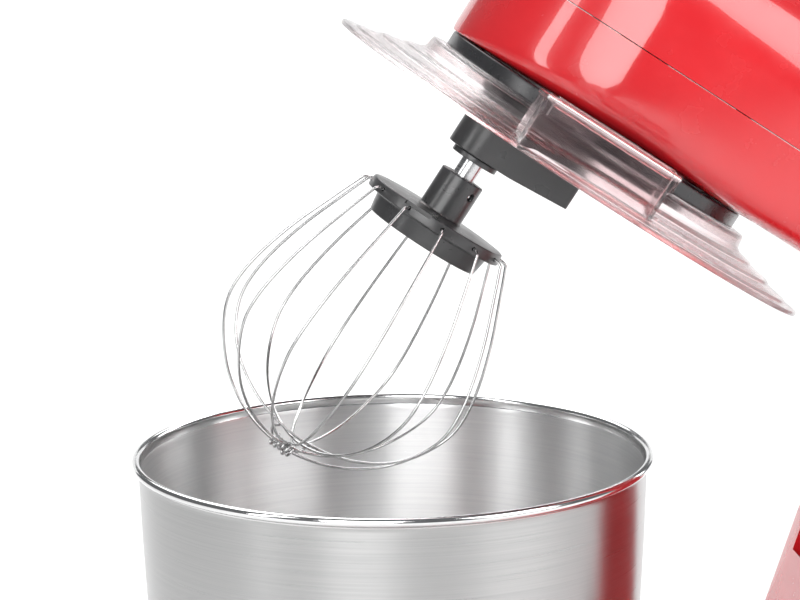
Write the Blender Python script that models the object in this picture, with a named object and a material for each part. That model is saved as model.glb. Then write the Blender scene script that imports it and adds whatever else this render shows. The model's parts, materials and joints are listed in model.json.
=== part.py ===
"""A tilt-head stand mixer: planetary drive, balloon whisk, clear splash guard, steel bowl.

Metres, +Z up, nose along -X, user's side along -Y. Places are measured from the bowl's axis at table
height, with the head lowered. An empty on the hinge then turns the whole head up, as it stands at rest.
"""

import math

import bmesh
import bpy
from mathutils import Vector

# ---------------------------------------------------------------- driving dimensions
TILT = math.radians(33.8)  # how far the raised head is turned up
HINGE_X, HINGE_Z = 0.2298, 0.1345
BOWL_RIM_R = 0.1125
BOWL_RIM_Z = 0.198
BASE_REAR = 0.282  # behind the bowl's axis
BASE_TOP = 0.024
ORBIT = 0.036  # the tool's axis circles the bowl's axis at this radius
GUARD_Z = BOWL_RIM_Z + 0.004  # lower rim of the splash guard
FLANGE_Z = GUARD_Z - 0.0457  # top of the whisk's flange
GUARD_R = 0.115
HEAD_R = 0.074
HEAD_FLOOR = 0.2255
PARTING_Z = 0.262
BARREL_R = 0.036  # round end of the neck, between the column's cheeks
BARREL_HALF = 0.0384
CHEEK_FACE = 0.055
GAP = 0.0003  # between pieces that touch
WALL = 0.003

# a gear's pitch radius is half its module times its teeth
MODULE = 0.002
RING_TEETH, PLANET_TEETH = 45, 9
MAIN_TEETH, IDLER_TEETH = 43, 9
IDLER_X = MODULE * (MAIN_TEETH + IDLER_TEETH) / 2
MOTOR_X = 0.120
IDLER_PULLEY_R, MOTOR_PULLEY_R = 0.030, 0.0075

WIRE_R = 0.0006
LOOPS = 6
BOX_MIDDLE = (BASE_REAR - BOWL_RIM_R) / 2  # puts the origin under the middle of the whole object


# ---------------------------------------------------------------- scene and materials
def clear_scene():
    for thing in list(bpy.data.objects):
        bpy.data.objects.remove(thing, do_unlink=True)


def material(name, colour, roughness, metallic=0.0, alpha=1.0):
    made = bpy.data.materials.new(name)
    made.use_nodes = True
    shader = made.node_tree.nodes["Principled BSDF"]
    shader.inputs["Base Color"].default_value = (*colour, 1.0)
    shader.inputs["Roughness"].default_value = roughness
    shader.inputs["Metallic"].default_value = metallic
    shader.inputs["Alpha"].default_value = alpha
    return made


def empty(name, parent=None, location=(0, 0, 0), rotation=(0, 0, 0)):
    made = bpy.data.objects.new(name, None)
    bpy.context.scene.collection.objects.link(made)
    made.parent = parent
    made.location = location
    made.rotation_euler = rotation
    return made


def piece(name, mesh, finish, parent, location=(0, 0, 0), rotation=(0, 0, 0), sharp=35):
    """A named object of the mesh, shaded smooth except at edges sharper than the angle."""
    made = bpy.data.objects.new(name, mesh)
    bpy.context.scene.collection.objects.link(made)
    made.parent = parent
    made.location = location
    made.rotation_euler = rotation
    mesh.materials.append(finish)
    mesh.shade_smooth()
    mesh.set_sharp_from_angle(angle=math.radians(sharp))
    return made


def change(target, operation, mesh, location=None, rotation=(0, 0, 0)):
    """Cuts a mesh from the target, joins it on or keeps what they share. The helper isn't rendered."""
    helper = bpy.data.objects.new(target.name + "_helper", mesh)
    bpy.context.scene.collection.objects.link(helper)
    helper.parent = target.parent
    helper.location = target.location if location is None else location
    helper.rotation_euler = rotation
    helper.hide_render = True
    helper.display_type = "WIRE"
    step = target.modifiers.new(operation.lower(), "BOOLEAN")
    step.operation = operation
    step.object = helper
    return target


# ---------------------------------------------------------------- shapes
def finished(bm):
    bmesh.ops.recalc_face_normals(bm, faces=bm.faces)
    mesh = bpy.data.meshes.new("mesh")
    bm.to_mesh(mesh)
    bm.free()
    return mesh


def lofted(rings, cyclic=False):
    """A closed mesh through rings of points; the end rings are filled, or joined to each other."""
    bm = bmesh.new()
    rows = [[bm.verts.new(point) for point in ring] for ring in rings]
    pairs = list(zip(rows, rows[1:]))
    if cyclic:
        pairs.append((rows[-1], rows[0]))
    for lower, upper in pairs:
        for i in range(len(lower)):
            j = (i + 1) % len(lower)
            bm.faces.new((lower[i], lower[j], upper[j], upper[i]))
    if not cyclic:
        bm.faces.new(rows[0])
        bm.faces.new(rows[-1])
    return finished(bm)


def turned(profile, sides=32, ring=False):
    """A profile of (radius, height) points turned about Z; ring joins its last point to its first."""
    angles = [math.tau * (k + 0.5) / sides for k in range(sides)]
    rings = [[(r * math.cos(a), r * math.sin(a), z) for a in angles] for r, z in profile]
    return lofted(rings, cyclic=ring)


def tube(inner, outer, bottom, top, sides=24):
    return turned([(outer, bottom), (outer, top), (inner, top), (inner, bottom)], sides, ring=True)


def rod(radius, bottom, top, sides=16):
    return turned([(radius, bottom), (radius, top)], sides)


def prism(outline, bottom, top):
    """An outline of (x, y) points, extruded along Z."""
    return lofted([[(x, y, z) for x, y in outline] for z in (bottom, top)])


def side_prism(outline, half_width):
    """An outline of (x, z) points, extruded along Y about the middle plane."""
    return lofted([[(x, y, z) for x, z in outline] for y in (-half_width, half_width)])


def box(low, high):
    (x0, y0, z0), (x1, y1, z1) = low, high
    return prism([(x0, y0), (x1, y0), (x1, y1), (x0, y1)], z0, z1)


def hull_outline(circles, points=48):
    """The outline round circles (x, y, radius), as a stretched band would lie."""
    outline = []
    for k in range(points):
        angle = math.tau * (k + 0.5) / points
        cos, sin = math.cos(angle), math.sin(angle)
        x, y, radius = max(circles, key=lambda c: c[0] * cos + c[1] * sin + c[2])
        outline.append((x + radius * cos, y + radius * sin))
    return outline


def gear_outline(teeth, tip, root, tip_share, root_share, turn=0.0):
    """Straight-flanked teeth; the shares are half-widths in tooth pitches."""
    outline = []
    pitch = math.tau / teeth
    for k in range(teeth):
        middle = turn + k * pitch
        flanks = ((root, -root_share), (tip, -tip_share), (tip, tip_share), (root, root_share))
        for radius, share in flanks:
            angle = middle + share * pitch
            outline.append((radius * math.cos(angle), radius * math.sin(angle)))
    return outline


def pinion_outline(teeth, turn=0.0):
    pitch_r = MODULE * teeth / 2
    return gear_outline(teeth, pitch_r + 0.8 * MODULE, pitch_r - 1.1 * MODULE, 0.09, 0.27, turn)


def wire(name, points, radius, finish, parent):
    """A round wire along the points, six-sided."""
    curve = bpy.data.curves.new(name, "CURVE")
    curve.dimensions = "3D"
    curve.bevel_depth = radius
    curve.bevel_resolution = 1
    curve.use_fill_caps = True
    spline = curve.splines.new("POLY")
    spline.points.add(len(points) - 1)
    for place, point in zip(spline.points, points):
        place.co = (*point, 1.0)
    curve.materials.append(finish)
    made = bpy.data.objects.new(name, curve)
    bpy.context.scene.collection.objects.link(made)
    made.parent = parent
    return made


# ---------------------------------------------------------------- base and column
PLATE_CIRCLES = [(0, 0, 0.105), (0.242, 0.035, 0.040), (0.242, -0.035, 0.040)]
COLUMN_CIRCLES = [(0.185, 0.033, 0.022), (0.185, -0.033, 0.022), (0.247, 0.030, 0.025),
                  (0.247, -0.030, 0.025)]
FOOT_HEIGHT = 0.006
FEET = {"foot_front_near": (-0.030, -0.078), "foot_front_far": (-0.030, 0.078),
        "foot_rear_near": (0.240, -0.050), "foot_rear_far": (0.240, 0.050)}
DIAL_X, DIAL_Z = 0.212, 0.080
LATCH_X, LATCH_Z = 0.222, 0.080
GLAND_X, GLAND_Z = 0.272, 0.052
SLOT_R = BARREL_R + 0.0016


def inset_circles(circles, inset):
    return [(x, y, radius - inset) for x, y, radius in circles]


def stacked(circles, levels, points=36):
    """Outlines at (height, inset) levels, joined from the bottom up."""
    return lofted([[(x, y, z) for x, y in hull_outline(inset_circles(circles, inset), points)]
                   for z, inset in levels])


def base_shell(parent, red):
    plate = [(0.0065, 0.0), (0.0155, 0.0), (0.0198, 0.0015), (0.0226, 0.0045), (BASE_TOP, 0.009)]
    shell = piece("base_shell", stacked(PLATE_CIRCLES, plate), red, parent)
    fillet = [(0.020, -0.0095), (0.025, -0.0080), (0.030, -0.0040), (0.038, -0.0012), (0.050, 0.0),
              (0.180, 0.0005)]
    column = piece("column_form", stacked(COLUMN_CIRCLES, fillet), red, parent)
    column.hide_render = True
    column.display_type = "WIRE"
    cheek = hull_outline([(HINGE_X, HINGE_Z, 0.041), (0.150, 0, 0.01), (0.290, 0, 0.01)], 64)
    change(column, "INTERSECT", side_prism(cheek, 0.07))
    join = shell.modifiers.new("column", "BOOLEAN")
    join.operation = "UNION"
    join.object = column
    slot = hull_outline([(HINGE_X, HINGE_Z, SLOT_R), (0.160, 0.192, 0.006), (0.300, 0.192, 0.006)], 48)
    change(shell, "DIFFERENCE", side_prism(slot, BARREL_HALF + 0.0005))
    inner_plate = [(0.004, WALL), (0.0170, WALL), (BASE_TOP - WALL, 0.010)]
    change(shell, "DIFFERENCE", stacked(PLATE_CIRCLES, inner_plate, 40))
    low = hull_outline(inset_circles(COLUMN_CIRCLES, WALL), 32)
    high_circles = [(x + (0.018 if x < 0.2 else 0), y, radius - WALL) for x, y, radius in COLUMN_CIRCLES]
    high = hull_outline(high_circles, 32)
    hollow = [[(x, y, z) for x, y in outline]
              for z, outline in ((0.016, low), (0.050, low), (HINGE_Z - SLOT_R - WALL, high))]
    change(shell, "DIFFERENCE", lofted(hollow))
    quarter = (math.pi / 2, 0, 0)
    change(shell, "DIFFERENCE", rod(0.0064, -0.07, 0.07), (HINGE_X, 0, HINGE_Z), quarter)
    change(shell, "DIFFERENCE", rod(0.0045, 0.04, 0.07, 12), (DIAL_X, 0, DIAL_Z), quarter)
    change(shell, "DIFFERENCE", rod(0.0030, 0.04, 0.07, 12), (DIAL_X + 0.036, 0, DIAL_Z), quarter)
    change(shell, "DIFFERENCE", rod(0.0053, -0.07, -0.04, 12), (LATCH_X, 0, LATCH_Z), quarter)
    change(shell, "DIFFERENCE", rod(0.0045, 0.08, 0.12, 12), (HINGE_X, 0, 0))
    change(shell, "DIFFERENCE", rod(0.0073, -0.01, 0.01, 16), (GLAND_X, 0, GLAND_Z), (0, math.pi / 2, 0))
    return shell


def base_fittings(parent, black, rubber, chrome, steel, board_green, clear):
    plate = stacked(PLATE_CIRCLES, [(FOOT_HEIGHT, WALL + GAP), (FOOT_HEIGHT + 0.003, WALL + GAP)], 40)
    piece("base_plate", plate, black, parent)
    cup = [(0.0135, 0.0), (0.0150, 0.0012), (0.0125, 0.0030), (0.0115, FOOT_HEIGHT - GAP)]
    for name, (x, y) in FEET.items():
        piece(name, turned(cup, 20), rubber, parent, (x, y, 0))
    top = BASE_TOP + 0.0050
    socket = [(0.0580, BASE_TOP + GAP), (0.0580, top - 0.0016), (0.0560, top), (0.0510, top),
              (0.0500, top - 0.0010), (0.0500, BASE_TOP + GAP)]
    piece("bowl_socket", turned(socket, 32, ring=True), black, parent)
    quarter = (math.pi / 2, 0, 0)
    piece("hinge_pin", rod(0.0060, -0.0545, 0.0545), steel, parent, (HINGE_X, 0, HINGE_Z), quarter)
    cap = [(0.0150, CHEEK_FACE + GAP), (0.0150, 0.0570), (0.0135, 0.0585), (0.0060, 0.0590)]
    piece("hinge_cap_near", turned(cap, 28), chrome, parent, (HINGE_X, 0, HINGE_Z), quarter)
    piece("hinge_cap_far", turned(cap, 28), chrome, parent, (HINGE_X, 0, HINGE_Z),
          (-math.pi / 2, 0, 0))
    board = box((0.170, -0.028, 0.0360), (0.262, 0.036, 0.0376))
    piece("control_board", board, board_green, parent)
    switch = box((DIAL_X - 0.010, -0.0475, DIAL_Z - 0.010), (DIAL_X + 0.010, -0.036, DIAL_Z + 0.010))
    piece("speed_switch", switch, black, parent)
    plate = tube(0.0050, 0.0225, CHEEK_FACE + GAP, CHEEK_FACE + 0.0018, 28)
    piece("dial_plate", plate, chrome, parent, (DIAL_X, 0, DIAL_Z), quarter)
    lens = [(0.0026, 0.0500), (0.0026, CHEEK_FACE + GAP), (0.0040, CHEEK_FACE + GAP),
            (0.0036, CHEEK_FACE + 0.0012), (0.0018, CHEEK_FACE + 0.0017)]
    piece("power_light", turned(lens, 12), clear, parent, (DIAL_X + 0.036, 0, DIAL_Z), quarter)
    gland = [(0.0070, -0.0100), (0.0070, -0.0004), (0.0060, 0.0002), (0.0052, 0.0060), (0.0036, 0.0060),
             (0.0036, -0.0100)]
    piece("cord_gland", turned(gland, 16, ring=True), rubber, parent, (GLAND_X, 0, GLAND_Z),
          (0, math.pi / 2, 0))


def speed_knob(parent, black):
    """A ribbed knob with its spindle, on the dial's axis."""
    ribs = 16
    grip = gear_outline(ribs, 0.0172, 0.0164, 0.14, 0.30)
    levels = [(CHEEK_FACE + 0.0024, 1.0), (0.0690, 0.96), (0.0712, 0.90)]
    knob = lofted([[(x * share, y * share, z) for x, y in grip] for z, share in levels])
    made = piece("speed_knob", knob, black, parent, (DIAL_X, 0, DIAL_Z), (math.pi / 2, 0, 0))
    change(made, "UNION", rod(0.0035, 0.0478, 0.0600, 12), rotation=(math.pi / 2, 0, 0))
    pointer = box((-0.0012, 0.0030, 0.0700), (0.0012, 0.0150, 0.0722))
    change(made, "UNION", pointer, rotation=(math.pi / 2, 0, 0))
    return made


def latch(parent, black, steel):
    """The release lever on the far cheek, its return spring, and the bolt that locks the neck."""
    away = (-math.pi / 2, 0, 0)
    handle = hull_outline([(0, 0, 0.0085), (-0.032, 0, 0.0055)], 28)
    face = CHEEK_FACE + 0.0008
    lever = piece("latch_lever", prism(handle, face, face + 0.0065), black, parent,
                  (LATCH_X, 0, LATCH_Z), away)
    change(lever, "UNION", rod(0.0047, 0.0120, face + 0.0020, 12), rotation=away)
    cam = hull_outline([(0, 0, 0.0070), (0.0078, 0, 0.0030)], 20)
    change(lever, "UNION", prism(cam, 0.0060, 0.0125), rotation=away)
    turns, steps = 3, 8
    coil = []
    for k in range(turns * steps + 1):
        angle = math.tau * k / steps
        coil.append((0.0068 * math.cos(angle), 0.0068 * math.sin(angle), 0.020 + 0.0035 * k / steps))
    spring = wire("latch_spring", coil, 0.0006, steel, parent)
    spring.location = (LATCH_X, 0, LATCH_Z)
    spring.rotation_euler = away
    bolt = [(0.0040, 0.0765), (0.0040, 0.0935), (0.0030, HINGE_Z - BARREL_R - 0.0012)]
    piece("lock_bolt", turned(bolt, 12), steel, parent, (HINGE_X, 0, 0))


# ---------------------------------------------------------------- bowl
def bowl(parent, steel):
    """A spun bowl with a pressed foot and a rolled rim."""
    foot, floor, wall = BASE_TOP + 0.0006, BASE_TOP + 0.0058, 0.0012
    corner_r, corner_x = 0.046, 0.0575
    outer = [(0.0440, floor), (0.0450, foot), (0.0470, foot), (0.0485, floor)]
    inner = []
    for k in range(6):
        angle = math.radians(78 * k / 5)
        outer.append((corner_x + corner_r * math.sin(angle), floor + corner_r * (1 - math.cos(angle))))
        inner.append((corner_x + (corner_r - wall) * math.sin(angle),
                      floor + corner_r - (corner_r - wall) * math.cos(angle)))
    outer.append((0.1075, 0.148))
    inner.append((0.1075 - wall, 0.148))
    neck = 0.1095
    outer.append((neck, BOWL_RIM_Z - 0.0045))
    inner.append((neck - wall, BOWL_RIM_Z - 0.0045))
    bead = 0.0021
    rolled = [(BOWL_RIM_R - 0.0010, BOWL_RIM_Z - 2 * bead), (BOWL_RIM_R, BOWL_RIM_Z - bead),
              (BOWL_RIM_R - 0.0009, BOWL_RIM_Z - 0.0005), (BOWL_RIM_R - bead, BOWL_RIM_Z),
              (neck - 0.0006, BOWL_RIM_Z - 0.0010)]
    profile = outer + rolled + inner[::-1] + [(0.030, floor + wall)]
    return piece("bowl", turned(profile, 36), steel, parent, sharp=50)


# ---------------------------------------------------------------- head casing
def superellipse_ring(low, high, half_width, below, above, points=28):
    """A section of the casing between its lowest and highest point, squarer below than above."""
    low, high = Vector(low), Vector(high)
    middle, up = (low + high) / 2, (high - low) / 2
    ring = []
    for k in range(points):
        angle = math.tau * (k + 0.5) / points
        cos, sin = math.cos(angle), math.sin(angle)
        power = 2 / (above if sin > 0 else below)
        across = half_width * math.copysign(abs(cos) ** power, cos)
        rise = math.copysign(abs(sin) ** power, sin)
        ring.append((middle.x + up.x * rise, across, middle.z + up.z * rise))
    return ring


# behind the nose: (low x, low z, high x, high z, half width, squareness below, squareness above)
NECK_SECTIONS = [
    (0.010, HEAD_FLOOR, 0.008, 0.3280, 0.0740, 8, 2.4),
    (0.050, HEAD_FLOOR, 0.052, 0.3290, 0.0735, 8, 2.4),
    (0.085, HEAD_FLOOR, 0.096, 0.3245, 0.0700, 7, 2.4),
    (0.113, 0.2243, 0.131, 0.3130, 0.0630, 6, 2.5),
    (0.138, 0.2195, 0.163, 0.2960, 0.0550, 5, 2.7),
    (0.160, 0.2095, 0.194, 0.2690, 0.0480, 5, 3.0),
    (0.176, 0.1950, 0.220, 0.2380, 0.0425, 5, 3.5),
    (0.187, 0.1755, 0.241, 0.2050, 0.0395, 6, 5.0),
    (0.1925, 0.1570, 0.2545, 0.1730, 0.0381, 8, 8.0),
    (0.1955, 0.1400, 0.2625, 0.1460, 0.0378, 8, 8.0),
]


def head_rings(inset):
    """Sections of the head from nose to neck, or of the hollow inside it."""
    front = HEAD_R - inset
    rings = []
    for share in (0.994, 0.95, 0.85, 0.66, 0.40, 0.16):
        x = -front * share
        crown = 0.0325 + 0.070 * math.sqrt(1 - ((x - 0.020) / (front + 0.0202)) ** 2) - 2 * inset
        low = HEAD_FLOOR + inset
        rings.append(superellipse_ring((x, 0, low), (x, 0, low + crown), math.sqrt(front**2 - x**2), 8, 2.4))
    for x0, z0, x1, z1, half, below, above in NECK_SECTIONS[: 7 if inset else None]:
        low, high = Vector((x0, 0, z0)), Vector((x1, 0, z1))
        step = (high - low).normalized() * inset
        rings.append(superellipse_ring(low + step, high - step, half - inset, below, above))
    return rings


def head_casing(frame, red, black):
    lower = piece("head_lower_shell", lofted(head_rings(0)), red, frame)
    quarter = (math.pi / 2, 0, 0)
    hinge = (HINGE_X, 0, HINGE_Z)
    change(lower, "UNION", rod(BARREL_R, -BARREL_HALF, BARREL_HALF, 40), hinge, quarter)
    change(lower, "DIFFERENCE", lofted(head_rings(WALL)))
    change(lower, "DIFFERENCE", box((-0.1, -0.1, PARTING_Z - GAP), (0.3, 0.1, 0.4)))
    change(lower, "DIFFERENCE", rod(0.058, 0.215, HEAD_FLOOR + WALL + 0.0005, 40))
    change(lower, "DIFFERENCE", rod(0.0064, -0.05, 0.05), hinge, quarter)
    for angle in (0, TILT):  # the bolt's two notches: head up and head down
        notch = rod(0.0048, -BARREL_R - 0.002, -BARREL_R + 0.005, 12)
        change(lower, "DIFFERENCE", notch, hinge, (0, angle - TILT, 0))
    upper = piece("head_upper_shell", lofted(head_rings(0)), red, frame)
    change(upper, "DIFFERENCE", lofted(head_rings(WALL)))
    change(upper, "DIFFERENCE", box((-0.1, -0.1, 0.1), (0.3, 0.1, PARTING_Z)))
    ring = [(0.0720, 0.2187), (0.0720, HEAD_FLOOR - GAP), (0.0580, HEAD_FLOOR - GAP), (0.0580, 0.2187)]
    piece("trim_ring", turned(ring, 40, ring=True), black, frame)


# ---------------------------------------------------------------- drive inside the head
def gear_frame(frame, cast):
    """The casting that carries the gears, and the bridge that holds their upper bearings."""
    plate = hull_outline([(0, 0, 0.057), (0.125, 0, 0.033)], 40)
    made = piece("gear_frame", prism(plate, 0.2340, 0.2370), cast, frame)
    for x, y in ((-0.034, -0.048), (-0.034, 0.048), (0.072, -0.044), (0.072, 0.044)):
        change(made, "UNION", rod(0.0040, 0.2350, 0.2620 - GAP, 10), (x, y, 0))
    change(made, "DIFFERENCE", rod(0.0125, 0.22, 0.25, 20))
    change(made, "DIFFERENCE", rod(0.0043, 0.22, 0.25, 12), (IDLER_X, 0, 0))
    bridge = hull_outline([(-0.034, -0.048, 0.006), (-0.034, 0.048, 0.006), (0.072, -0.044, 0.006),
                           (0.072, 0.044, 0.006)], 28)
    top = piece("bearing_bridge", prism(bridge, 0.2620, 0.2660), cast, frame)
    change(top, "DIFFERENCE", rod(0.0123, 0.25, 0.28, 20))
    change(top, "DIFFERENCE", rod(0.0043, 0.25, 0.28, 12), (IDLER_X, 0, 0))


def bearings(frame, steel):
    for name, bottom in (("main_bearing_lower", 0.2333), ("main_bearing_upper", 0.2595)):
        outer, inner, middle = 0.0120, 0.0063, 0.0090
        top = bottom + 0.0060
        race = [(outer, bottom), (outer, top), (middle, top), (middle - 0.0008, top - 0.0006),
                (inner, top), (inner, bottom)]
        piece(name, turned(race, 16, ring=True), steel, frame)


def ring_gear(frame, cast):
    """The fixed internal gear. Its spaces are cut by an outline of their own shape."""
    pitch_r = MODULE * RING_TEETH / 2
    made = piece("ring_gear", rod(0.0530, 0.2215, 0.2285, 40), cast, frame)
    half_pitch = math.pi / RING_TEETH
    spaces = gear_outline(RING_TEETH, pitch_r + 1.2 * MODULE, pitch_r - 0.7 * MODULE, 0.21, 0.40, half_pitch)
    return change(made, "DIFFERENCE", prism(spaces, 0.21, 0.24))


def motor_stator(frame, steel, black, copper):
    x = MOTOR_X
    can = [(0.0300, 0.2373), (0.0300, 0.2840), (0.0280, 0.2840), (0.0280, 0.2393), (0.0070, 0.2393),
           (0.0070, 0.2373)]
    piece("motor_can", turned(can, 24, ring=True), steel, frame, (x, 0, 0))
    piece("motor_end_cap", tube(0.0048, 0.0300, 0.2843, 0.2873, 24), black, frame, (x, 0, 0))
    for name, side in (("brush_near", -1), ("brush_far", 1)):
        inner, outer = sorted((side * 0.0100, side * 0.0200))
        brush = box((-0.0035, inner, 0.2720), (0.0035, outer, 0.2780))
        piece(name, brush, copper, frame, (x, 0, 0))


def drive_belt(frame, rubber):
    """A ribbed belt round both pulleys, a hair clear of them."""
    gap, thick = 0.0003, 0.0014
    rings = []
    for extra, z in ((gap + thick, 0.2926), (gap + thick, 0.2994), (gap, 0.2994), (gap, 0.2926)):
        circles = [(IDLER_X, 0, IDLER_PULLEY_R + extra), (MOTOR_X, 0, MOTOR_PULLEY_R + extra)]
        rings.append([(x, y, z) for x, y in hull_outline(circles, 40)])
    piece("drive_belt", lofted(rings, cyclic=True), rubber, frame)


def pulley(name, radius, parent, finish, bore, sides):
    flange = radius + 0.0014
    rim = [(flange, 0.2910), (flange, 0.2923), (radius, 0.2923), (radius, 0.2997), (flange, 0.2997),
           (flange, 0.3010), (bore, 0.3010), (bore, 0.2910)]
    return piece(name, turned(rim, sides, ring=True), finish, parent)


def rotor(axis, steel, black, copper):
    piece("motor_shaft", rod(0.0040, 0.2376, 0.3030, 14), steel, axis)
    piece("armature", tube(0.0043, 0.0220, 0.2450, 0.2695, 24), copper, axis)
    piece("commutator", tube(0.0043, 0.0095, 0.2700, 0.2800, 16), copper, axis)
    pulley("motor_pulley", MOTOR_PULLEY_R, axis, steel, 0.0043, 16)
    blades = gear_outline(8, 0.0200, 0.0080, 0.10, 0.14)
    fan = piece("motor_fan", prism(blades, 0.2405, 0.2435), black, axis)
    change(fan, "DIFFERENCE", rod(0.0043, 0.23, 0.25, 14))


def idler(axis, steel, black, nylon):
    piece("idler_shaft", rod(0.0040, 0.2335, 0.3025, 14), steel, axis)
    pulley("idler_pulley", IDLER_PULLEY_R, axis, black, 0.0043, 28)
    space_at_gear = math.pi + math.pi / IDLER_TEETH
    outline = pinion_outline(IDLER_TEETH, space_at_gear)
    teeth = piece("idler_pinion", prism(outline, 0.2450, 0.2560), nylon, axis)
    change(teeth, "DIFFERENCE", rod(0.0043, 0.24, 0.26, 14))


# ---------------------------------------------------------------- planetary arm and its spindle
ARM_BOTTOM = FLANGE_Z + 0.0295
BOSS_R = 0.0139
ARM_END = 0.0061  # from the planet's axis
ARM_RISE = math.tan(math.radians(3.6))  # slope of the arm's underside, away from its boss


def planet(axis, steel, black, nylon):
    piece("main_shaft", rod(0.0060, 0.2060, 0.2650, 18), steel, axis)
    main = piece("main_gear", prism(pinion_outline(MAIN_TEETH), 0.2460, 0.2550), nylon, axis)
    change(main, "DIFFERENCE", rod(0.0063, 0.24, 0.26, 18))
    bar = hull_outline([(-ORBIT, 0, BOSS_R), (ARM_END - 0.0015, BOSS_R - 0.0015, 0.0015),
                        (ARM_END - 0.0015, 0.0015 - BOSS_R, 0.0015)], 44)
    arm = piece("planet_arm", prism(bar, ARM_BOTTOM, 0.2120), black, axis)
    change(arm, "UNION", rod(0.0500, 0.2110, 0.2170, 40))
    start, end = -0.0240, 0.0200
    slope = [(start, 0.17), (end, 0.17), (end, ARM_BOTTOM + ARM_RISE * (end + 0.0225)),
             (start, ARM_BOTTOM + ARM_RISE * (start + 0.0225))]
    change(arm, "DIFFERENCE", side_prism(slope, 0.03))
    change(arm, "DIFFERENCE", rod(0.0063, 0.2055, 0.2200, 18))
    change(arm, "DIFFERENCE", rod(0.0053, 0.1700, 0.2200, 16), (-ORBIT, 0, 0))
    change(arm, "DIFFERENCE", rod(0.0082, 0.1700, ARM_BOTTOM + 0.0120, 18), (-ORBIT, 0, 0))
    flange = 0.0106
    bush = [(flange, ARM_BOTTOM - 0.0027), (flange, ARM_BOTTOM - GAP), (0.0079, ARM_BOTTOM - GAP),
            (0.0079, ARM_BOTTOM + 0.0115), (0.0053, ARM_BOTTOM + 0.0115), (0.0053, ARM_BOTTOM - 0.0027)]
    piece("arm_bush", turned(bush, 24, ring=True), black, axis, (-ORBIT, 0, 0))


PIN_HEIGHT = 0.0135
PIN_TURN = math.radians(-53)


def spindle(axis, steel, nylon):
    bottom = FLANGE_Z + 0.0018
    shaft = [(0.0042, bottom), (0.0050, bottom + 0.0010), (0.0050, 0.2300)]
    made = piece("tool_shaft", turned(shaft, 16), steel, axis)
    turn = (math.pi / 2, 0, PIN_TURN + math.pi / 2)
    change(made, "DIFFERENCE", rod(0.0018, -0.01, 0.01, 10), (0, 0, FLANGE_Z + PIN_HEIGHT), turn)
    piece("drive_pin", rod(0.0015, -0.0083, 0.0083, 10), steel, axis, (0, 0, FLANGE_Z + PIN_HEIGHT), turn)
    teeth = piece("planet_pinion", prism(pinion_outline(PLANET_TEETH, math.pi), 0.2220, 0.2280), nylon, axis)
    change(teeth, "DIFFERENCE", rod(0.0053, 0.21, 0.24, 16))


# ---------------------------------------------------------------- whisk
WIRE_HOLE_Z = -0.0025
# one side of a loop in its own plane, from the flange's edge to near the tip: (radius, height)
WIRE_SIDE = [(0.0260, WIRE_HOLE_Z), (0.0330, WIRE_HOLE_Z), (0.0358, -0.0032), (0.0372, -0.0056),
             (0.0425, -0.0180), (0.0493, -0.0345), (0.0545, -0.0510), (0.0572, -0.0660),
             (0.0562, -0.0790), (0.0490, -0.0930), (0.0370, -0.1065), (0.0200, -0.1163)]
TIP_Z = -0.1200
LIFT_FROM = -0.0900
LOOP_STEP = 0.0014  # each loop crosses the axis this much above the one below
WHISK_TURN = math.radians(-4)


def whisk_hub(axis, black):
    """Flange, skirt and socket in one moulding, drilled for the wires and grooved for the drive pin."""
    profile = [(0.0100, 0.0190), (0.0100, 0.0006), (0.0106, 0.0), (0.0320, 0.0), (0.0325, -0.0006),
               (0.0325, -0.0050), (0.0272, -0.0052), (0.0259, -0.0135), (0.0235, -0.0135),
               (0.0240, -0.0060), (0.0070, -0.0055)]
    made = piece("whisk_hub", turned(profile, 24), black, axis, (0, 0, FLANGE_Z))
    change(made, "DIFFERENCE", rod(0.0053, 0.0010, 0.0250, 16))
    groove = box((-0.0087, -0.0018, PIN_HEIGHT - 0.0018), (0.0087, 0.0018, 0.0250))
    change(made, "DIFFERENCE", groove, rotation=(0, 0, PIN_TURN))
    across = (math.pi / 2, 0, PIN_TURN + math.pi / 2)
    change(made, "DIFFERENCE", rod(0.0016, -0.012, 0.012, 12), (0, 0, FLANGE_Z + PIN_HEIGHT), across)
    for k in range(2 * LOOPS):
        hole = rod(WIRE_R + 0.0003, 0.0250, 0.0350, 6)
        change(made, "DIFFERENCE", hole, (0, 0, FLANGE_Z + WIRE_HOLE_Z),
               (0, math.pi / 2, math.pi * k / LOOPS + WHISK_TURN))
    return made


def loop_path(k):
    """Loop k from one side of the hub, round under the tip, to the other side."""
    lift = LOOP_STEP * k
    side = [(r, z + lift * max(0.0, (z - LIFT_FROM) / (TIP_Z - LIFT_FROM))) for r, z in WIRE_SIDE]
    points = side + [(0, TIP_Z + lift)] + [(-r, z) for r, z in side[::-1]]
    turn = math.pi * k / LOOPS
    return [(r * math.cos(turn), r * math.sin(turn), z) for r, z in points]


def binding_path():
    """The wire wound round loop 0, from beside the tip outwards."""
    turns, steps, wind_r = 4, 6, 0.0016
    points = []
    for k in range(turns * steps + 1):
        r = 0.0075 + 0.0085 * k / (turns * steps)
        angle = math.tau * k / steps
        z = TIP_Z + r * (WIRE_SIDE[-1][1] - TIP_Z) / WIRE_SIDE[-1][0]
        points.append((-r, wind_r * math.cos(angle), z + wind_r * math.sin(angle)))
    return points


def whisk(axis, black, steel):
    whisk_hub(axis, black)
    for k in range(LOOPS):
        loop = wire(f"wire_loop_{k + 1}", loop_path(k), WIRE_R, steel, axis)
        loop.location = (0, 0, FLANGE_Z)
        loop.rotation_euler = (0, 0, WHISK_TURN)
    binding = wire("tip_binding", binding_path(), 0.0005, steel, axis)
    binding.location = (0, 0, FLANGE_Z)
    binding.rotation_euler = (0, 0, WHISK_TURN)


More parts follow.
